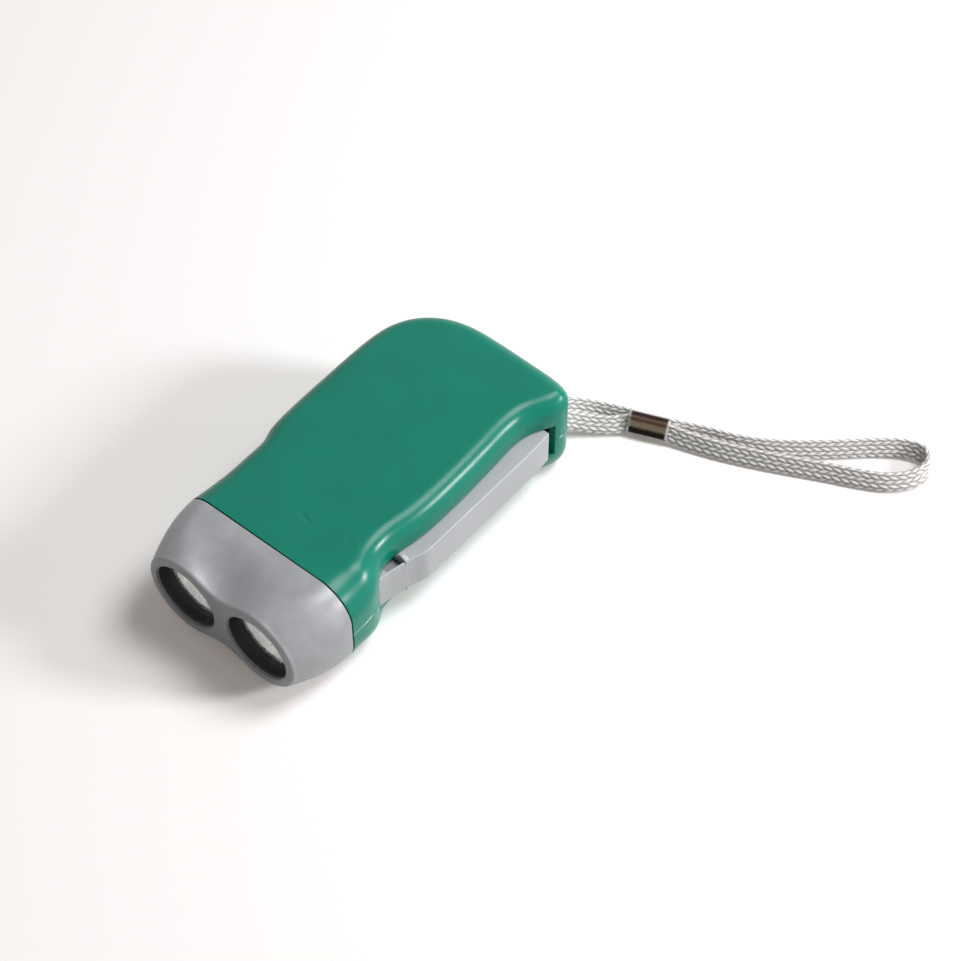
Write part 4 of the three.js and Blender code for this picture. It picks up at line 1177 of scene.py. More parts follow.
    def leant(self, side: Vector, rise: Vector) -> tuple[Vector, Vector]:
        """Leans a section so that the face on the lever's side looks up.

        Args:
            side: The section's direction across the tape's thickness.
            rise: Its direction across the tape's width.

        Returns:
            Both directions, leant.
        """
        angle = self.lean * side.dot(Vector(self.lean_towards))
        cosine, sine = math.cos(angle), math.sin(angle)
        return side * cosine + rise * sine, rise * cosine - side * sine

    def mark(self, thing: bpy.types.Object, heights: Sequence[tuple[float, float]]) -> None:
        """Stores the stitch heights as attributes that the finish reads.

        Args:
            thing: The object to work on.
            heights: Heights of the stitch and its threads, ring by ring.
        """
        seats = [0] * len(thing.data.vertices)
        thing.data.attributes["seat"].data.foreach_get("value", seats)
        for place, name in enumerate(("relief", "thread")):
            attribute = thing.data.attributes.new(name, "FLOAT", "POINT")
            attribute.data.foreach_set("value", [heights[seat][place] for seat in seats])

    def sleeve_stations(self) -> list[Flat]:
        """Places along the sleeve with its growth there, out over the wall and back inside.

        Returns:
            Pairs of the way along and the growth.
        """
        half, lip, wall = self.sleeve_length / 2, self.sleeve_lip, self.sleeve_wall
        outside = [
            (half, -wall), (half, -0.1 * MM), (half - lip / 2, 0.0), (half - lip * 3, 0.0),
            (half - lip * 6, -0.02 * MM),
        ]
        back = [(-reach, grow) for reach, grow in outside]
        inside = [(half - lip, -wall), (0.0, -wall), (lip - half, -wall)]
        return [*back, (0.0, -0.04 * MM), *reversed(outside), *inside, back[0]]

    def sleeve_ring(self, grow: float) -> list[Flat]:
        """The sleeve's rounded rectangle, as distances to the side and up its height.

        Args:
            grow: How far outside the sleeve's own size it lies.

        Returns:
            Points of the ring.
        """
        ring = []
        for k in range(self.sleeve_around):
            angle = math.tau * k / self.sleeve_around
            cosine, sine = math.cos(angle), math.sin(angle)
            wide = math.copysign(abs(cosine) ** self.sleeve_power, cosine) * (self.sleeve_wide + grow)
            tall = math.copysign(abs(sine) ** self.sleeve_power, sine) * (self.sleeve_high + grow)
            ring.append((wide, tall))
        return ring

    def sleeve(self) -> bpy.types.Object:
        """Builds the crimped sleeve round the two strands.

        Returns:
            The object, with the attributes from which its finish paints reflections and highlights.
        """
        low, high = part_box(self.sleeve_node)
        middle = (low + high) / 2 + Vector((0.0, 0.0, self.sleeve_lift))
        cosine, sine = math.cos(self.sleeve_bearing), math.sin(self.sleeve_bearing)
        along = Vector((cosine, sine, 0.0))
        side, rise = self.leant(Vector((sine, -cosine, 0.0)), Vector((0.0, 0.0, 1.0)))
        rings = []
        for reach, grow in self.sleeve_stations():
            foot = middle + along * reach
            rings.append([tuple(foot + side * wide + rise * tall) for wide, tall in self.sleeve_ring(grow)])
        made = loft("strap_sleeve_metal", rings, ends=False)
        with editing(made):
            bpy.ops.mesh.select_all(action="SELECT")
            bpy.ops.mesh.remove_doubles(threshold=HAIR)
            bpy.ops.mesh.normals_make_consistent(inside=False)
        # edge is 1 where the finish paints a highlight, band picks its painted reflection band
        edge = made.data.attributes.new("edge", "FLOAT", "POINT")
        band = made.data.attributes.new("band", "FLOAT", "POINT")
        end = self.sleeve_length / 2
        for index, vertex in enumerate(made.data.vertices):
            place = vertex.co - middle
            height = place.dot(rise) / self.sleeve_high
            band.data[index].value = 0.5 - 0.5 * height
            # painted highlight at both mouths and along the upper ridge of the far half
            mouth = smoothstep(abs(place.dot(along)), end - self.sleeve_lip, end)
            far_half = smoothstep(-place.dot(side), self.highlight_side_start * self.sleeve_wide, 0.0)
            edge.data[index].value = max(mouth, smoothstep(height, *self.highlight_rise) * far_half)
        smooth(made, 40.0)
        return made

    def build(self) -> None:
        """Builds the strap and its sleeve."""
        tape, line = self.strap()
        dress(tape, BRAID, Body.TORCH, "wrist_strap")
        sleeve = dress(self.sleeve(), SLEEVE, Body.TORCH, self.sleeve_node)
        path = [tuple(place) for place in line[::10]]
        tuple(self.exit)


# Body shells

SCREWS: dict[str, Flat] = {
    "screw_front_left": (-18.0 * MM, -26.8 * MM),
    "screw_front_right": (5.0 * MM, -26.8 * MM),
    "screw_rear_left": (-19.6 * MM, 38.4 * MM),
    "screw_rear_right": (9.5 * MM, 43.8 * MM),
}


@dataclass
class BodyShells:
    """The two moulded halves of the body, with the lever's window and the switch's slot."""

    half_width: float = 25.65 * MM
    height: float = 26.4 * MM
    joint_y: float = -33.1 * MM
    tail_y: float = 50.0 * MM
    wall: float = 1.8 * MM
    parting: float = 13.2 * MM
    parting_gap: float = 0.25 * MM
    edge_radius: float = 5.0 * MM
    joint_edge_radius: float = 9.5 * MM
    joint_edge_left: float = 6.8 * MM
    blend_start: float = 2.0 * MM
    blend_length: float = 16.0 * MM
    tail_lift: float = 0.8
    tail_lift_y: Flat = (26 * MM, 46 * MM)
    tail_lift_x: Flat = (0.0, 14 * MM)
    joint_edge_x: Flat = (-10 * MM, 10 * MM)
    chamfer: float = 0.18 * MM
    mouth_edge: float = 0.25 * MM
    corner_share: float = 0.85
    flat_sag: float = 0.001 * MM
    body_middle: Point = (0.0, 8.0 * MM, 13.2 * MM)
    body_weights: Point = (1.0, 0.5, 1.5)
    outer_least: float = 0.35
    sharp: float = math.radians(40)
    points: int = 420
    stretch_steps: int = 30
    passes: int = 12
    edge_steps: int = 12
    core_points: int = 260
    core_steps: int = 6
    window_low: float = 7.9 * MM
    window_high: float = 18.5 * MM
    window_rear: float = 41.0 * MM
    window_inner: float = 13.05 * MM
    window_outer: float = 30.0 * MM
    pivot: Flat = (14.4 * MM, -19.6 * MM)
    sweep_radius: float = 9.2 * MM
    switch_slot: Box = ((-27.0 * MM, -18.6 * MM, 11.4 * MM), (-19.1 * MM, -12.0 * MM, 15.0 * MM))
    strap_hole: Box = ((12.8 * MM, 45.6 * MM, 4.9 * MM), (18.4 * MM, 55.0 * MM, 9.9 * MM))
    lock_slot: Box = ((19.2 * MM, 39.1 * MM, -2.0 * MM), (21.4 * MM, 44.3 * MM, 4.1 * MM))
    lock_room: Box = ((18.8 * MM, 38.7 * MM, 3.9 * MM), (21.8 * MM, 44.5 * MM, 12.5 * MM))
    tongue_inset: float = 1.0 * MM
    tongue_foot: float = 11.0 * MM
    tongue_rise: float = 0.6 * MM
    groove_inset: float = 0.92 * MM
    groove_foot: float = 10.0 * MM
    groove_rise: float = 0.5 * MM
    groove_shift: float = -0.1 * MM
    boss_foot: float = 0.9 * MM
    boss_roof: float = 25.4 * MM
    screw_boss: float = 3.0 * MM
    screw_boss_upper: float = 2.7 * MM
    screw_boss_top: float = 24.9 * MM
    screw_boss_gap: float = 0.7 * MM
    screw_hole: float = 1.4 * MM
    screw_seat: float = 2.5 * MM
    screw_seat_top: float = 2.4 * MM
    axle_boss: float = 2.6 * MM
    axle_boss_top: float = 7.2 * MM
    axle_boss_upper: float = 23.5 * MM
    pivot_boss: float = 3.0 * MM
    pivot_boss_upper: float = 2.2 * MM
    pivot_hole: float = 1.6 * MM
    pivot_hole_foot: float = 1.8 * MM
    hole_foot: float = -1.0 * MM
    hole_top: float = 20.0 * MM
    strap_post: Post = ((15.6 * MM, 44.2 * MM), 1.9 * MM, 0.9 * MM, 4.6 * MM)
    screws: tuple[Flat, ...] = tuple(SCREWS.values())
    axles: tuple[Flat, ...] = (
        (-6.283 * MM, -2.245 * MM), (-3.227 * MM, 15.088 * MM), (-3.730 * MM, 29.479 * MM)
    )
    shares: tuple[Flat, ...] = (
        (0.994, -0.034), (0.998, 0.0145), (0.994, 0.063), (0.971, 0.104), (0.912, 0.138), (0.842, 0.167),
        (0.811, 0.201), (0.811, 0.244), (0.842, 0.299), (0.866, 0.37), (0.866, 0.507), (0.846, 0.648),
        (0.827, 0.745), (0.834, 0.793), (0.873, 0.832), (0.936, 0.866), (0.986, 0.897), (0.998, 0.925),
        (0.971, 0.954), (0.893, 0.977), (0.76, 0.988), (0.413, 0.995), (0, 1), (-0.292, 0.998),
        (-0.538, 0.979), (-0.713, 0.947), (-0.854, 0.902), (-0.947, 0.846), (-0.99, 0.779), (-1, 0.704),
        (-0.996, 0.571), (-0.986, 0.438), (-0.967, 0.348), (-0.947, 0.31), (-0.901, 0.282), (-0.893, 0.244),
        (-0.893, 0.178), (-0.904, 0.123), (-0.932, 0.063), (-0.951, 0.0145), (-0.959, -0.034),
        (-0.838, -0.118), (0, -0.161), (0.877, -0.118),
    )

    def outline(self, count: int) -> list[Vector]:
        """The body's outline seen from above, anticlockwise.

        Args:
            count: The number of points.

        Returns:
            The points.
        """
        length = self.tail_y - self.joint_y
        places = [Vector((x * self.half_width, self.joint_y + y * length, 0.0)) for x, y in self.shares]
        line = curve_through(places, True, self.stretch_steps)
        return eased(evenly(line, count, True), round(self.passes * (count / self.points) ** 2))

    def edge_at(self, place: Vector) -> float:
        """Radius of the long edges at a place on the outline.

        Args:
            place: A place on the outline.

        Returns:
            The radius.
        """
        across = smoothstep(place.x, *self.joint_edge_x)
        joint = self.joint_edge_left + (self.joint_edge_radius - self.joint_edge_left) * across
        blend = smoothstep(place.y - self.joint_y, self.blend_start, self.blend_start + self.blend_length)
        return joint + (self.edge_radius - joint) * blend

    def edge_radii(self, outline: Sequence[Vector]) -> list[float]:
        """Edge radius at each point, held below the outline's own radius at tight corners.

        Args:
            outline: Points of the outline.

        Returns:
            One radius for each point.
        """
        count = len(outline)
        reach = max(2, count // 105)
        radii = []
        for i, place in enumerate(outline):
            before, after = outline[i - reach], outline[(i + reach) % count]
            chord = after - before
            sag = (place - (before + after) / 2).dot(Vector((chord.y, -chord.x, 0.0)).normalized())
            own = chord.length_squared / (8 * sag) if sag > self.flat_sag else 1.0
            radii.append(min(self.edge_at(place), self.corner_share * own))
        for _ in range(count // 35):
            ahead = [*radii[1:], radii[0]]
            radii = [min(here, radii[i - 1] / 4 + here / 2 + ahead[i] / 4) for i, here in enumerate(radii)]
        return radii

    def lift(self, place: Vector) -> float:
        """How much higher the lower edge's rounding reaches at a place of the tail."""
        at_tail = smoothstep(place.y, *self.tail_lift_y)
        return 1 + self.tail_lift * at_tail * smoothstep(place.x, *self.tail_lift_x)

    def layers(
        self, inset: float, low: float, high: float, steps: int, count: int
    ) -> tuple[list[list[Point]], list[list[Point]]]:
        """Rings of the rounded body between two heights.

        Args:
            inset: How far inside the outer faces the body lies.
            low: Height of its lower face.
            high: Height of its upper face.
            steps: Steps of each rounded edge.
            count: Points in each ring.

        Returns:
            The rings from the lower face up to the wall, and from the upper face down to it.
        """
        outline = self.outline(count)
        sides = outward(outline)
        radii = [radius - inset for radius in self.edge_radii(outline)]
        lifts = [self.lift(place) for place in outline]
        lower, upper = [], []
        for k in range(steps + 1):
            angle = math.pi / 2 * k / steps
            ring = [p - s * (inset + r * (1 - math.sin(angle))) for p, s, r in zip(outline, sides, radii)]
            rises = [r * (1 - math.cos(angle)) for r in radii]
            lower.append([(p.x, p.y, low + rise * lift) for p, rise, lift in zip(ring, rises, lifts)])
            upper.append([(p.x, p.y, high - rise) for p, rise in zip(ring, rises)])
        return lower, upper

    def band(self, name: str, inset: float, low: float, high: float) -> bpy.types.Object:
        """A straight slab of the body's outline, drawn in by inset.

        Args:
            name: The new object's name.
            inset: How far inside the outline it lies.
            low: Height of its foot.
            high: Height of its top.

        Returns:
            The object.
        """
        outline = self.outline(self.points)
        ring = [p - s * inset for p, s in zip(outline, outward(outline))]
        return self.trimmed(slab(name, [(p.x, p.y) for p in ring], low, high))

    def trimmed(self, thing: bpy.types.Object) -> bpy.types.Object:
        """Cuts a solid off at the joint with the head and closes it there.

        Args:
            thing: The object to work on.

        Returns:
            The same object.
        """
        with editing(thing):
            bpy.ops.mesh.select_all(action="SELECT")
            bpy.ops.mesh.bisect(
                plane_co=(0, self.joint_y, 0), plane_no=(0, -1, 0), clear_outer=True, use_fill=True
            )
        return thing

    def core(self, inset: float) -> bpy.types.Object:
        """The rounded form of the whole body, drawn in by inset."""
        lower, upper = self.layers(inset, inset, self.height - inset, self.core_steps, self.core_points)
        return loft("core", [*lower, *reversed(upper)])

    def skin(self, name: str, upper: bool) -> bpy.types.Object:
        """The outside of one half, closed at the parting face with a fine chamfer.

        Args:
            name: The object's name.
            upper: Whether it is the upper half.

        Returns:
            The solid half.
        """
        lower_rings, upper_rings = self.layers(0.0, 0.0, self.height, self.edge_steps, self.points)
        rings = upper_rings if upper else lower_rings
        away = 1 if upper else -1
        edge = self.parting + away * self.parting_gap / 2
        outline = self.outline(self.points)
        drawn = [p - s * self.chamfer for p, s in zip(outline, outward(outline))]
        rings.append([(x, y, edge + away * self.chamfer) for x, y, _ in rings[-1]])
        rings.append([(p.x, p.y, edge) for p in drawn])
        return self.trimmed(loft(name, rings))

    def openings(self) -> bpy.types.Object:
        """The cutters of the lever's window and the switch's slot, as one object.

        Returns:
            The cutter.
        """
        low, high = self.window_low, self.window_high
        far = (self.window_outer, self.window_rear, high)
        window = block("window", (self.window_inner, self.pivot[1], low), far)
        combine(window, post("sweep", self.pivot, self.sweep_radius, low, high, 96), Join.ADD)
        return merged("openings", [window, block("switch_slot", *self.switch_slot)])

    def on_outside(self, edge: bmesh.types.BMEdge) -> bool:
        """Whether one face beside an edge is the outer wall and the other a cut face.

        Args:
            edge: An edge of the mesh.

        Returns:
            True where it is sharp and one face is outside.
        """
        if len(edge.link_faces) != 2:
            return False
        outer = 0
        for face in edge.link_faces:
            away = face.calc_center_median() - Vector(self.body_middle)
            away = Vector([axis * weight for axis, weight in zip(away, self.body_weights)])
            outer += face.normal.dot(away.normalized()) > self.outer_least
        return outer == 1 and edge.calc_face_angle(0.0) > self.sharp

    def round_edges(self, half: bpy.types.Object, level: float) -> None:
        """Rounds the window's long edge and the edge at the head.

        Args:
            half: One half of the body.
            level: Height of the window's edge.
        """
        near = HAIR * 10

        def picked(edge: bmesh.types.BMEdge) -> bool:
            """Whether an edge lies at the window's level or at the joint."""
            ends = [vertex.co for vertex in edge.verts]
            at_window = all(abs(end.z - level) < near for end in ends)
            at_joint = all(abs(end.y - self.joint_y) < near for end in ends)
            return (at_window or at_joint) and self.on_outside(edge)

        bevel_where(half, picked, self.mouth_edge)

    def posts(self, name: str, tops: Sequence[Post]) -> bpy.types.Object:
        """Several round posts as one object."""
        return merged(name, [post(f"{name}_{k}", *sizes) for k, sizes in enumerate(tops)])

    def bosses(self, tops: Sequence[Post]) -> bpy.types.Object:
        """Posts that end inside the wall."""
        return combine(self.posts("boss", tops), self.core(self.wall / 2), Join.COMMON)

    def lower(self) -> bpy.types.Object:
        """Builds the lower half with its screw and axle bosses.

        Returns:
            The finished half.
        """
        half = self.skin("lower_shell_moulded", False)
        edge = self.parting - self.parting_gap / 2
        recesses = [block("strap_hole", *self.strap_hole), block("lock_slot", *self.lock_slot)]
        combine(half, merged("recesses", recesses), Join.CUT)
        combine(half, block("lock_room", *self.lock_room), Join.CUT)
        tongue = self.band("tongue", self.tongue_inset, self.tongue_foot, edge + self.tongue_rise)
        combine(half, tongue, Join.ADD)
        combine(half, self.core(self.wall), Join.CUT)
        bosses = [(place, self.screw_boss, self.boss_foot, edge) for place in self.screws]
        bosses += [(place, self.axle_boss, self.boss_foot, self.axle_boss_top) for place in self.axles]
        bosses += [(self.pivot, self.pivot_boss, self.boss_foot, self.window_low), self.strap_post]
        combine(half, self.bosses(bosses), Join.ADD)
        combine(half, self.openings(), Join.CUT)
        holes = [(place, self.screw_hole, self.hole_foot, self.hole_top) for place in self.screws]
        holes.append((self.pivot, self.pivot_hole, self.pivot_hole_foot, self.hole_top))
        combine(half, self.posts("hole", holes), Join.CUT)
        seats = [(place, self.screw_seat, self.hole_foot, self.screw_seat_top) for place in self.screws]
        combine(half, self.posts("seat", seats), Join.CUT)
        self.round_edges(half, self.window_low)
        return half

    def upper(self) -> bpy.types.Object:
        """Builds the upper half with its bosses.

        Returns:
            The finished half.
        """
        half = self.skin("upper_shell_moulded", True)
        edge = self.parting + self.parting_gap / 2
        groove = self.band("groove", self.groove_inset, self.groove_foot, edge + self.groove_rise)
        combine(half, move_mesh(groove, Matrix.Translation((0, self.groove_shift, 0))), Join.CUT)
        combine(half, self.core(self.wall), Join.CUT)
        foot = edge + self.screw_boss_gap
        bosses = [(place, self.screw_boss_upper, foot, self.screw_boss_top) for place in self.screws]
        bosses += [(place, self.axle_boss, self.axle_boss_upper, self.boss_roof) for place in self.axles]
        bosses.append((self.pivot, self.pivot_boss_upper, self.window_high, self.boss_roof))
        combine(half, self.bosses(bosses), Join.ADD)
        combine(half, self.openings(), Join.CUT)
        self.round_edges(half, self.window_high)
        return half

    def build(self) -> None:
        """Builds both halves."""
        for half, node in ((self.lower(), "lower_shell"), (self.upper(), "upper_shell")):
            smooth(half)
            dress(half, GREEN, Body.TORCH, node)


# Head


@dataclass
class Head:
    """The grey front housing, from the body's section to the two lamp rims with a waist between."""

    nose_y: float = -50.0 * MM
    rear_y: float = -33.4 * MM
    length: float = 16.6 * MM
    parting: float = 13.2 * MM
    joint_half_width: float = 25.05 * MM
    joint_edges: Flat = (6.8 * MM, 9.5 * MM)
    joint_shift: float = 0.55 * MM
    lamp_spacing: float = 22.2 * MM
    rim_radius: float = 11.4 * MM
    nose_flat: float = 0.3 * MM
    nose_edge: float = 0.9 * MM
    waist_dip: float = 2.8 * MM
    waist_start: float = 0.2
    wall: float = 1.9 * MM
    joint_chamfer: float = 0.18 * MM
    spigot_slack: float = 2.65 * MM
    spigot_wall: float = 1.5 * MM
    spigot_ys: Flat = (-30.7 * MM, -34.5 * MM)
    hollow_ys: Flat = (-28.7 * MM, -37.3 * MM)
    cavity_shares: tuple[float, ...] = (0.114, 0.2, 0.3, 0.4, 0.5, 0.578)
    bore_radius: float = 9.13 * MM
    bore_edge: float = 0.3 * MM
    bore_step: float = 1.1 * MM
    bore_depths: Point = (-2.0 * MM, 0.9 * MM, 9.0 * MM)
    arc_steps: int = 16
    span_steps: int = 36
    sections: int = 28

    def section(self, share: float, inset: float, y: float) -> list[Point]:
        """One cross section.

        Args:
            share: 0 at the body and 1 at the nose.
            inset: How far inside the outer face it lies.
            y: Its place along the beams.

        Returns:
            Its points, once round.
        """
        bend = share * share
        dip = self.waist_dip * smoothstep(share, self.waist_start, 1.0)
        left, right = (self.corner(edge, bend, inset) for edge in self.joint_edges)
        flat: list[Flat] = []
        for side_x, side_z, start in ((1, 1, 90), (1, -1, 0), (-1, -1, -90), (-1, 1, 180)):
            x, z, radius = right if side_x > 0 else left
            for i in range(self.arc_steps + 1):
                angle = math.radians(start - 90 * i / self.arc_steps)
                flat.append((side_x * x + radius * math.cos(angle), side_z * z + radius * math.sin(angle)))
            if side_x > 0 > side_z:
                flat += self.waist(right[0], -left[0], -(z + radius), dip)
            if side_x < 0 < side_z:
                flat += self.waist(-left[0], right[0], z + radius, dip)
        shift = self.joint_shift * (1 - bend)
        return [(x + shift, y, self.parting + z) for x, z in flat]

    def corner(self, edge: float, bend: float, inset: float) -> Point:
        """Place and radius of one side's corners, from the body's edge to the lamp's rim.

        Args:
            edge: Radius of the body's edge.
            bend: 0 at the body and 1 at the nose.
            inset: How far inside the outer face it lies.

        Returns:
            X, Z and the radius.
        """
        x = self.joint_half_width - edge
        z = self.parting - edge
        x += (self.lamp_spacing / 2 - x) * bend
        z += (self.nose_flat - z) * bend
        return x, z, edge + (self.rim_radius - edge) * bend - inset

    def waist(self, start: float, end: float, height: float, dip: float) -> list[Flat]:
        """The span between two corners, drawn in by a cosine dip.

        Args:
            start: X where the span starts.
            end: X where it ends.
            height: Its height.
            dip: Depth of the dip.

        Returns:
            Points of the span.
        """
        span = []
        for i in range(1, self.span_steps):
            share = i / self.span_steps
            sag = dip * (1 - math.cos(math.tau * share)) / 2
            span.append((start + (end - start) * share, height - math.copysign(sag, height)))
        return span

    def outside(self) -> bpy.types.Object:
        """The solid outer form with a rounded nose edge.

        Returns:
            The object.
        """
        run = self.length - self.nose_edge
        chamfer = self.joint_chamfer
        rings = [self.section(0.0, chamfer, self.rear_y), self.section(0.0, 0.0, self.rear_y - chamfer)]
        for k in range(1, self.sections + 1):
            share = k / self.sections
            rings.append(self.section(share, 0.0, self.rear_y - run * share))
        for degrees in (15, 30, 45, 60, 75, 90):
            angle = math.radians(degrees)
            inset = self.nose_edge * (1 - math.cos(angle))
            rings.append(self.section(1.0, inset, self.nose_y + self.nose_edge * (1 - math.sin(angle))))
        return loft("head_housing_moulded", rings)

    def bore(self, x: float, radius: float, front: float, rear: float) -> bpy.types.Object:
        """A round cutter along a beam, between two depths behind the nose."""
        cutter = post("bore", (0.0, 0.0), radius, front, rear, 128)
        return move_mesh(cutter, beam_matrix(x))

    def build(self) -> None:
        """Builds the housing, its spigot and its two bores."""
        head = self.outside()
        spigot = [self.section(0.0, self.spigot_slack, y) for y in self.spigot_ys]
        combine(head, loft("spigot", spigot), Join.ADD)
        cavity = []
        for share in self.cavity_shares:
            cavity.append(self.section(share, self.wall, self.rear_y - self.length * share))
        combine(head, loft("cavity", cavity), Join.CUT)
        hollow = [self.section(0.0, self.spigot_slack + self.spigot_wall, y) for y in self.hollow_ys]
        combine(head, loft("hollow", hollow), Join.CUT)
        front, step, rear = self.bore_depths
        for side in (-1, 1):
            x = side * self.lamp_spacing / 2
            combine(head, self.bore(x, self.bore_radius, front, rear), Join.CUT)
            combine(head, self.bore(x, self.bore_radius + self.bore_step, step, rear), Join.CUT)
        self.round_rims(head)
        smooth(head)
        dress(head, GREY, Body.TORCH, "head_housing")

    def round_rims(self, head: bpy.types.Object) -> None:
        """Rounds the edge where each bore meets the flat nose.

        Args:
            head: The object to work on.
        """
        near = HAIR * 20

        def picked(edge: bmesh.types.BMEdge) -> bool:
            """Whether both ends of an edge lie on a bore's rim."""
            for vertex in edge.verts:
                across = math.hypot(abs(vertex.co.x) - self.lamp_spacing / 2, vertex.co.z - self.parting)
                if abs(vertex.co.y - self.nose_y) > near or abs(across - self.bore_radius) > near:
                    return False
            return True

        bevel_where(head, picked, self.bore_edge)


def beam_matrix(x: float) -> Matrix:
    """Turns depths along Z into depths behind the nose, on the beam at x."""
    return Matrix.Translation((x, Head.nose_y, Head.parting)) @ Matrix.Rotation(math.radians(-90), 4, "X")


# Lamps


@dataclass
class Lamps:
    """Both lamps: black tube, clear domed lens, bright reflector and LED, turned about the beam."""

    spacing: float = Head.lamp_spacing
    bore_radius: float = Head.bore_radius
    tube_wall: float = 0.8 * MM
    tube_front: float = 1.2 * MM
    tube_length: float = 10.5 * MM
    tube_edge: float = 0.1 * MM
    ledge: float = 0.25 * MM
    ledge_depth: float = 0.4 * MM
    lens_recess: float = 3.6 * MM
    lens_front: float = 4.5 * MM
    lens_dome: float = 1.1 * MM
    lens_thickness: float = 0.5 * MM
    lens_steps: int = 12
    reflector_front: float = 5.1 * MM
    reflector_depth: float = 7.6 * MM
    reflector_curve: float = 1.15
    reflector_wall: float = 0.35 * MM
    reflector_lip: float = 0.6 * MM
    reflector_steps: int = 12
    led_radius: float = 2.5 * MM
    led_flange: float = 13.0 * MM
    led_flange_depth: float = 0.9 * MM
    led_flange_rim: float = 0.4 * MM
    led_length: float = 4.8 * MM
    cup_radius: float = 1.1 * MM
    cup_profile: tuple[Flat, ...] = ((0.0, 0.0), (0.75 * MM, 0.0), (0.95 * MM, -0.3 * MM), (1.1 * MM, 0.0))
    cup_span: Flat = (-1.6 * MM, 0.2 * MM)
    gap: float = 0.3 * MM
    looks: tuple[tuple[Finish, str], ...] = (
        (BLACK, "lamp_tube"), (LENS, "lens"), (PLATING, "reflector"), (LED_CLEAR, "led"), (PHOSPHOR, ""),
    )

    def turn(self, name: str, profile: Sequence[Flat], steps: int = 128) -> bpy.types.Object:
        """Turns a piece of the left lamp.

        Args:
            name: The piece's name without its side.
            profile: Points as radius and depth behind the nose.
            steps: The number of steps in the turn.

        Returns:
            The piece on its beam.
        """
        made = move_mesh(turned(f"{name}_left", profile, steps), beam_matrix(-self.spacing / 2))
        smooth(made)
        return made

    def tube(self) -> bpy.types.Object:
        """The black tube with the ledge that holds the lens.

        Returns:
            The left lamp's tube.
        """
        inner, ledge = self.bore_radius, self.bore_radius - self.ledge
        outer = inner + self.tube_wall
        front, rear = self.tube_front, self.tube_front + self.tube_length
        recess, back, off = self.lens_recess, self.lens_recess + self.ledge_depth, self.tube_edge
        profile = [
            (inner, front + off), (inner + off, front), (outer - off, front), (outer, front + off),
            (outer, rear), (inner, rear), (inner, back), (ledge, back), (ledge, recess + off),
            (ledge + off, recess), (inner, recess),
        ]
        return self.turn("lamp_tube_moulded", profile)

    def lens(self) -> bpy.types.Object:
        """The clear lens with its dome.

        Returns:
            The left lamp's lens.
        """
        rim, dome = self.bore_radius - self.gap, self.bore_radius - self.ledge - self.gap
        back = self.lens_front + self.lens_thickness
        profile = [(0.0, self.lens_front - self.lens_dome)]
        for k in range(1, self.lens_steps + 1):
            share = k / self.lens_steps
            profile.append((dome * share, self.lens_front - self.lens_dome * (1 - share * share)))
        profile += [(rim, self.lens_front), (rim, back), (0.0, back)]
        return self.turn("lamp_lens_clear", profile)

    def reflector(self) -> bpy.types.Object:
        """The plated bowl, open to the front, with the LED's throat behind.

        Returns:
            The left lamp's reflector.
        """
        mouth, throat = self.bore_radius - self.gap, self.led_radius + self.gap
        inner = []
        for k in range(self.reflector_steps + 1):
            share = k / self.reflector_steps
            radius = throat + (mouth - self.reflector_wall - throat) * share
            depth = self.reflector_front + self.reflector_depth * (1 - share**self.reflector_curve)
            inner.append((radius, depth))
        outer = [(radius + self.reflector_wall, depth) for radius, depth in inner[:-1]]
        flange = self.reflector_front + self.reflector_lip
        rim = [(mouth, self.reflector_front), (mouth, flange), (mouth - self.reflector_wall / 2, flange)]
        return self.turn("lamp_reflector_plated", [*inner, *rim, *reversed(outer)])

    def led(self) -> bpy.types.Object:
        """The clear LED with its flange.

        Returns:
            The left lamp's LED.
        """
        back = self.led_flange + self.led_flange_depth
        dome = back - self.led_length + self.led_radius
        profile = []
        for degrees in range(0, 91, 10):
            angle = math.radians(degrees)
            profile.append((self.led_radius * math.sin(angle), dome - self.led_radius * math.cos(angle)))
        rim = self.led_radius + self.led_flange_rim
        profile += [(self.led_radius, self.led_flange), (rim, self.led_flange), (rim, back), (0.0, back)]
        return self.turn("lamp_led_clear", profile, 64)

    def chip(self) -> bpy.types.Object:
        """The LED's own cup and chip, seen through its dome."""
        front, back = (self.led_flange + reach for reach in self.cup_span)
        profile = [(radius, front + rise) for radius, rise in self.cup_profile]
        return self.turn("lamp_led_chip", [*profile, (self.cup_radius, back), (0.0, back)], 48)

    def build(self) -> None:
        """Builds the five pieces of the left lamp and copies them for the right one."""
        left = (self.tube(), self.lens(), self.reflector(), self.led(), self.chip())
        across = Matrix.Translation((self.spacing, 0.0, 0.0))
        right = [copied(piece, piece.name.replace("_left", "_right"), across) for piece in left]
        for side, pieces in (("left", left), ("right", right)):
            for piece, (finish, node) in zip(pieces, self.looks):
                nodes = (f"{node}_{side}",) if node else ()
                dress(piece, finish, Body.TORCH, *nodes)


# Lever


def rounded(corners: Sequence[tuple[float, float, float]], steps: int = 6) -> list[Flat]:
    """A closed outline whose corners are eased.

    Args:
        corners: X, y and the length that is eased on each side of the corner, 0 for a sharp one.
        steps: Steps of each eased corner.

    Returns:
        The outline's points.
    """
    points: list[Flat] = []
    for i, (x, y, reach) in enumerate(corners):
        here = Vector((x, y))
        before, after = Vector(corners[i - 1][:2]), Vector(corners[(i + 1) % len(corners)][:2])
        if not reach:
            points.append((x, y))
            continue
        start = here.lerp(before, min(0.48, reach / (before - here).length))
        end = here.lerp(after, min(0.48, reach / (after - here).length))
        for k in range(steps + 1):
            t = k / steps
            place = start * (1 - t) ** 2 + here * (2 * t * (1 - t)) + end * t**2
            points.append((place.x, place.y))
    return points


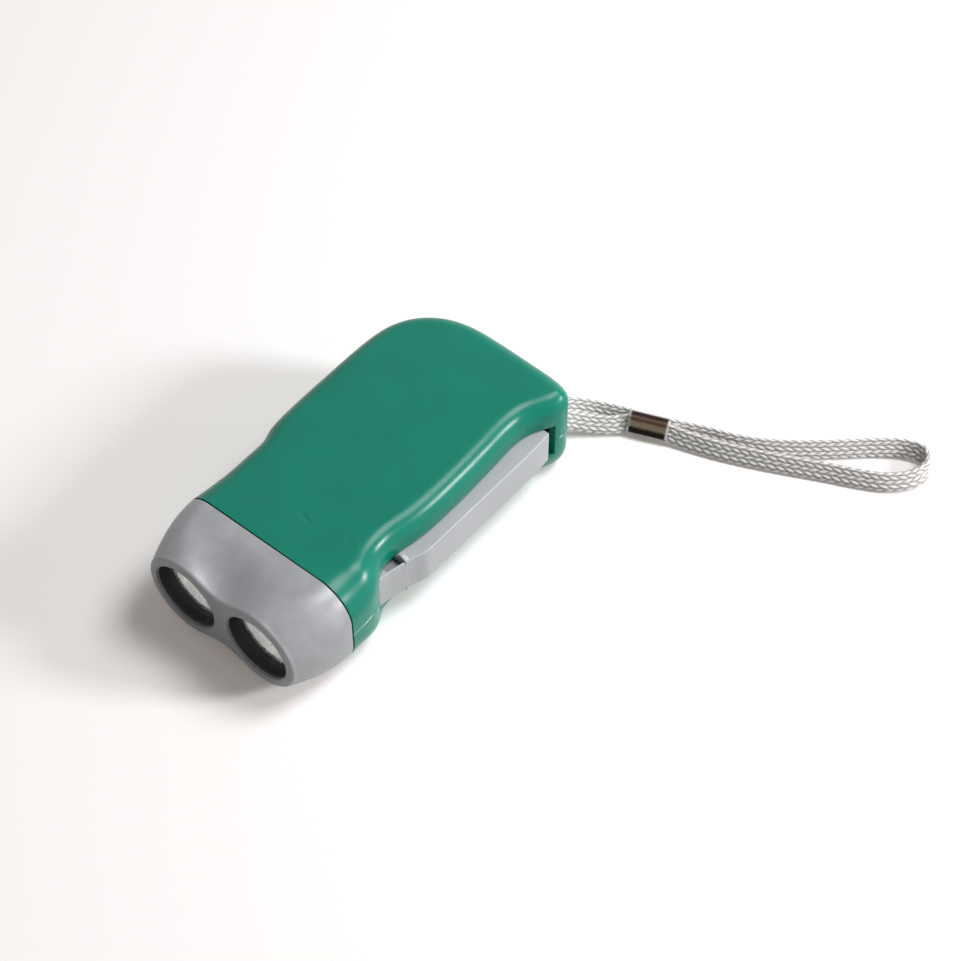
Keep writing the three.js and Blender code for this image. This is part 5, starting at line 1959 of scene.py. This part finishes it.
@dataclass
class SqueezeLever:
    """The grey lever: a hollow moulding with a hub, fins above and below, ribs and a toothed arm."""

    pivot: Flat = (14.4, -19.6)
    low: float = 8.2
    high: float = 18.2
    hub_radius: float = 8.2
    hub_start: float = 120.0
    hub_end: float = 358.0
    hub_steps: int = 48
    hub_boss: float = 3.6
    boss_gap: float = 0.01
    pin_hole: float = 1.6
    skin: float = 1.6
    flange: float = 1.2
    rear: float = 38.4
    tip_x: float = 25.2
    tip_corner: float = 0.5
    inner_x: float = 15.05
    hollow_start: float = 105.0
    hollow_reach: float = 10.6
    shelf: float = 1.4
    recess_y: float = -17.8
    recess_x: float = 4.0
    recess_depth: float = 0.2
    reach_xs: Flat = (12.0, 27.0)
    gap_xs: Flat = (16.0, 23.2)
    gap_length: float = 0.5
    gap_depth: float = 3.0
    slot_xs: Flat = (18.7, 21.9)
    slot_zs: Flat = (9.8, 12.5)
    slot_length: float = 3.2
    rim: float = 0.45
    edge: float = 0.32
    fin_y: float = -13.07
    fin_thickness: float = 1.3
    fin_xs: Flat = (21.45, 24.0)
    fin_round: Flat = (2.3, 1.25)
    fin_inner_rise: float = 1.2
    fin_root: float = 0.2
    fin_edge: float = 0.12
    rib_ys: tuple[float, ...] = (5.1, 16.2, 27.3)
    rib_thickness: float = 1.2
    rib_end: float = 24.9
    rib_zs: Flat = (8.8, 17.6)
    steps: tuple[tuple[float, float, float], ...] = (
        (22.95, -17.4, 0.8), (23.85, -13.2, 1.0), (24.45, -10.9, 0.9), (25.45, -8.1, 1.1), (25.65, -6.6, 0.6),
        (25.65, 31.0, 6.0),
    )
    sector_teeth: int = 44
    sector_bearing: float = 140.0
    sector_zs: Flat = (11.0, 14.0)
    first_tooth: int = -1
    cut_teeth: int = 6
    flank: tuple[float, ...] = (-1.2, -0.95, -0.5, 0.0, 0.45, 0.85)
    backlash: float = 0.18
    arm_root: float = 1.8
    pressure: float = math.radians(25)

    def outline(self, inset: float, start: float, rear: float, inner_x: float) -> list[Flat]:
        """The lever from above, drawn in by inset, in millimetres.

        Args:
            inset: How far inside the outer face it lies.
            start: Bearing where the hub's arc starts, in degrees.
            rear: Y of the rear end.
            inner_x: X of the side away from the palm.

        Returns:
            Points of the outline.
        """
        x, y = self.pivot
        radius = self.hub_radius - inset
        hub = []
        for k in range(self.hub_steps + 1):
            angle = math.radians(start + (self.hub_end - start) * k / self.hub_steps)
            hub.append((x + radius * math.cos(angle), y + radius * math.sin(angle), 0.0))
        outer = [(step_x - inset, step_y, reach) for step_x, step_y, reach in self.steps]
        corner = 0.0 if inset else self.tip_corner
        return rounded([*hub, *outer, (self.tip_x - inset, rear, corner), (inner_x, rear, corner)])

    def slab(self, name: str, outline: Sequence[Flat], low: float, high: float) -> bpy.types.Object:
        """A slab from sizes in millimetres."""
        return slab(name, [(x * MM, y * MM) for x, y in outline], low * MM, high * MM)

    def shell(self) -> bpy.types.Object:
        """The hollow moulding.

        Returns:
            The object that the other parts join.
        """
        outline = self.outline(0.0, self.hub_start, self.rear, self.inner_x)
        made = self.slab("squeeze_lever_moulded", outline, self.low, self.high)
        levels = (self.low * MM, self.high * MM)

        def on_rim(edge: bmesh.types.BMEdge) -> bool:
            """Whether an edge lies in the lower or the upper face."""
            return any(all(abs(vertex.co.z - level) < HAIR for vertex in edge.verts) for level in levels)

        bevel_where(made, on_rim, self.edge * MM)
        base, top, over = self.low + self.flange, self.high - self.flange, self.high + 1
        inner = self.inner_x - self.hollow_reach
        hollow = self.outline(self.skin, self.hollow_start, self.rear - self.skin, inner)
        combine(made, self.slab("pocket_rear", hollow, base, top - self.shelf), Join.CUT)
        under_top = self.slab("pocket_top", hollow, top - self.shelf - 0.1, top)
        behind_fin = bar("behind_fin", (0.0, 27.0), (self.fin_y + 0.01, self.rear), (self.low, self.high))
        combine(made, combine(under_top, behind_fin, Join.COMMON), Join.CUT)
        inside_rim = self.outline(self.rim, self.hollow_start, self.rear, self.recess_x)
        recess = self.slab("recess", inside_rim, top - self.recess_depth, over)
        before_fin = bar("before_fin", self.reach_xs, (self.recess_y, self.fin_y), (self.low, over + 1))
        combine(made, combine(recess, before_fin, Join.COMMON), Join.CUT)
        gap_ys = (self.fin_y - self.gap_length, self.fin_y)
        combine(made, bar("gap", self.gap_xs, gap_ys, (top - self.gap_depth, over)), Join.CUT)
        slot_ys = (self.rear - self.slot_length, self.rear + 2)
        combine(made, bar("slot", self.slot_xs, slot_ys, self.slot_zs), Join.CUT)
        return made

    def fin(self, up: bool) -> bpy.types.Object:
        """The thin web at the front of the palm face, above or below it.

        Args:
            up: Whether it stands on the upper face.

        Returns:
            The object.
        """
        face, away = (self.high, 1.0) if up else (self.low, -1.0)
        base = face - away * (self.flange - self.fin_root)
        inner, outer = self.fin_xs
        wide, tall = self.fin_round
        profile = [(outer, base), (outer, face)]
        for k in range(1, 9):
            angle = math.pi / 2 * k / 8
            profile.append((outer - wide * (1 - math.cos(angle)), face + away * tall * math.sin(angle)))
        profile += [(inner, face + away * self.fin_inner_rise), (inner, base)]
        ys = (self.fin_y, self.fin_y + self.fin_thickness)
        made = loft("fin", [[(x * MM, y * MM, z * MM) for x, z in profile] for y in ys])
        soften(made, self.fin_edge * MM, 2)
        return made

    def half_tooth(self, radius: float) -> float:
        """Half the angle of a sector tooth at a radius in millimetres.

        Args:
            radius: The radius.

        Returns:
            The angle in radians.
        """
        pitch = self.sector_teeth / 2
        here = math.acos(min(1.0, pitch * math.cos(self.pressure) / radius))
        at_pitch, at_radius = (math.tan(angle) - angle for angle in (self.pressure, here))
        return math.pi / (2 * self.sector_teeth) - self.backlash / (2 * pitch) + at_pitch - at_radius

    def arm(self) -> bpy.types.Object:
        """The arm with the six teeth that drive the first gear.

        Returns:
            The object.
        """
        pitch = math.tau / self.sector_teeth
        flank = [self.sector_teeth / 2 + reach for reach in self.flank]
        halves = [self.half_tooth(max(radius, flank[1])) for radius in flank]
        start = math.radians(self.sector_bearing) + (self.first_tooth - 0.5) * pitch
        end = start + self.cut_teeth * pitch
        polar = [(flank[0], start)]
        for k in range(self.cut_teeth):
            centre = start + (k + 0.5) * pitch
            tooth = [(radius, centre - half) for radius, half in zip(flank, halves)]
            polar += tooth + [(radius, 2 * centre - angle) for radius, angle in reversed(tooth)]
        polar += [(flank[0], end), (self.arm_root, end), (self.arm_root, start)]
        x, y = self.pivot
        outline = [(x + radius * math.cos(angle), y + radius * math.sin(angle)) for radius, angle in polar]
        return self.slab("arm", outline, *self.sector_zs)

    def build(self) -> None:
        """Builds the lever."""
        lever = self.shell()
        for y in self.rib_ys:
            xs = (self.inner_x + self.rib_thickness, self.rib_end)
            combine(lever, bar("rib", xs, (y, y + self.rib_thickness), self.rib_zs), Join.ADD)
        centre = (self.pivot[0] * MM, self.pivot[1] * MM)
        foot, head = (self.low + self.boss_gap) * MM, (self.high - self.boss_gap) * MM
        combine(lever, post("boss", centre, self.hub_boss * MM, foot, head, 64), Join.ADD)
        for added in (self.arm(), self.fin(True), self.fin(False)):
            combine(lever, added, Join.ADD)
        combine(lever, post("pin_hole", centre, self.pin_hole * MM, 0.0, 30 * MM), Join.CUT)
        smooth(lever)
        dress(lever, LEVER_GREY, Body.LEVER, "squeeze_lever")


# Switch, lock and screws


@dataclass
class SwitchKnob:
    """The ribbed slide knob in its recess on the side away from the lever."""

    face: float = -23.205
    middle: float = -13.8
    length: float = 7.6
    zs: Flat = (10.0, 16.4)
    proud: float = 1.5
    edge: float = 0.3
    ribs: int = 5
    rib_height: float = 0.5
    rib_width: float = 1.0
    rib_zs: Flat = (10.15, 16.25)
    rib_root: float = 0.2
    rib_edge: float = 0.22
    neck: Spans = ((-23.705, -19.6), (-15.3, -12.3), (11.7, 14.7))

    def build(self) -> None:
        """Builds the knob with its ribs and the neck that reaches the switch."""
        start, outside = self.middle - self.length / 2, self.face - self.proud
        ys = (start, self.middle + self.length / 2)
        xs = (outside + self.rib_height, self.face)
        knob = bar("switch_knob_moulded", xs, ys, self.zs, self.edge)
        for k in range(self.ribs):
            y = start + self.length / self.ribs * (k + 0.5)
            ys = (y - self.rib_width / 2, y + self.rib_width / 2)
            rib = bar("rib", (outside, self.face - self.rib_root), ys, self.rib_zs, self.rib_edge)
            combine(knob, rib, Join.ADD)
        combine(knob, bar("neck", *self.neck), Join.ADD)
        smooth(knob)
        dress(knob, BLACK, Body.SWITCH, "switch_knob")


@dataclass
class LeverLock:
    """The small slide under the tail that hooks into the lever's rear wall."""

    slide: Spans = ((19.0, 21.6), (41.6, 44.4), (4.0, 12.2))
    tongue: Spans = ((19.05, 21.55), (39.0, 43.0), (10.15, 12.15))
    stem: Spans = ((19.5, 21.1), (42.0, 44.0), (0.5, 6.0))
    edge: float = 0.2
    stem_edge: float = 0.15
    groove_xs: Flat = (18.0, 22.5)
    groove_zs: Flat = (0.0, 0.75)
    groove_ys: Point = (42.45, 43.0, 43.55)
    groove_half: float = 0.12

    def build(self) -> None:
        """Builds the slide with its tongue and its grooved thumb face."""
        lock = bar("lever_lock_moulded", *self.slide, self.edge)
        combine(lock, bar("tongue", *self.tongue, self.edge), Join.ADD)
        combine(lock, bar("stem", *self.stem, self.stem_edge), Join.ADD)
        for y in self.groove_ys:
            ys = (y - self.groove_half, y + self.groove_half)
            combine(lock, bar("groove", self.groove_xs, ys, self.groove_zs), Join.CUT)
        smooth(lock)
        dress(lock, BLACK, Body.LOCK, "lever_lock")


@dataclass
class Screws:
    """The four pan-head screws with cross recesses, driven from below."""

    profile: tuple[Flat, ...] = (
        (0.0, 0.6), (0.9, 0.62), (1.4, 0.75), (1.8, 1.0), (2.1, 1.4), (2.2, 1.75), (2.2, 2.1), (1.1, 2.1),
        (1.1, 15.9), (0.0, 18.1),
    )
    wing: Spans = ((-1.3, 1.3), (-0.22, 0.22), (0.0, 1.35))
    wing_turns: Flat = (25.0, 115.0)

    def model(self) -> bpy.types.Object:
        """One screw at the origin.

        Returns:
            The object.
        """
        screw = turned("screw_model", [(radius * MM, z * MM) for radius, z in self.profile], 64)
        for turn in self.wing_turns:
            wing = move_mesh(bar("wing", *self.wing), Matrix.Rotation(math.radians(turn), 4, "Z"))
            combine(screw, wing, Join.CUT)
        smooth(screw)
        return screw

    def build(self) -> None:
        """Copies one screw to each seat."""
        model = self.model()
        for node, (x, y) in SCREWS.items():
            screw = copied(model, f"{node}_steel", Matrix.Translation((x, y, 0.0)))
            dress(screw, STEEL, Body.TORCH, node)
        drop(model)


def dress_nodes() -> None:
    """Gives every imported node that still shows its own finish."""
    for finish, nodes in NODE_FINISHES.items():
        for name in nodes:
            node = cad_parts[name]
            node.data.materials.clear()
            node.data.materials.append(finish.material())


def main() -> None:
    """Builds the view, then every piece in order."""
    logging.basicConfig(level=logging.INFO, format="%(name)s: %(message)s")
    stage = Stage()
    stage.camera()
    WristStrap().build()
    stage.build()
    for part in (BodyShells(), Head(), Lamps(), SqueezeLever(), SwitchKnob(), LeverLock(), Screws()):
        part.build()
    dress_nodes()


if __name__ == "__main__":
    main()
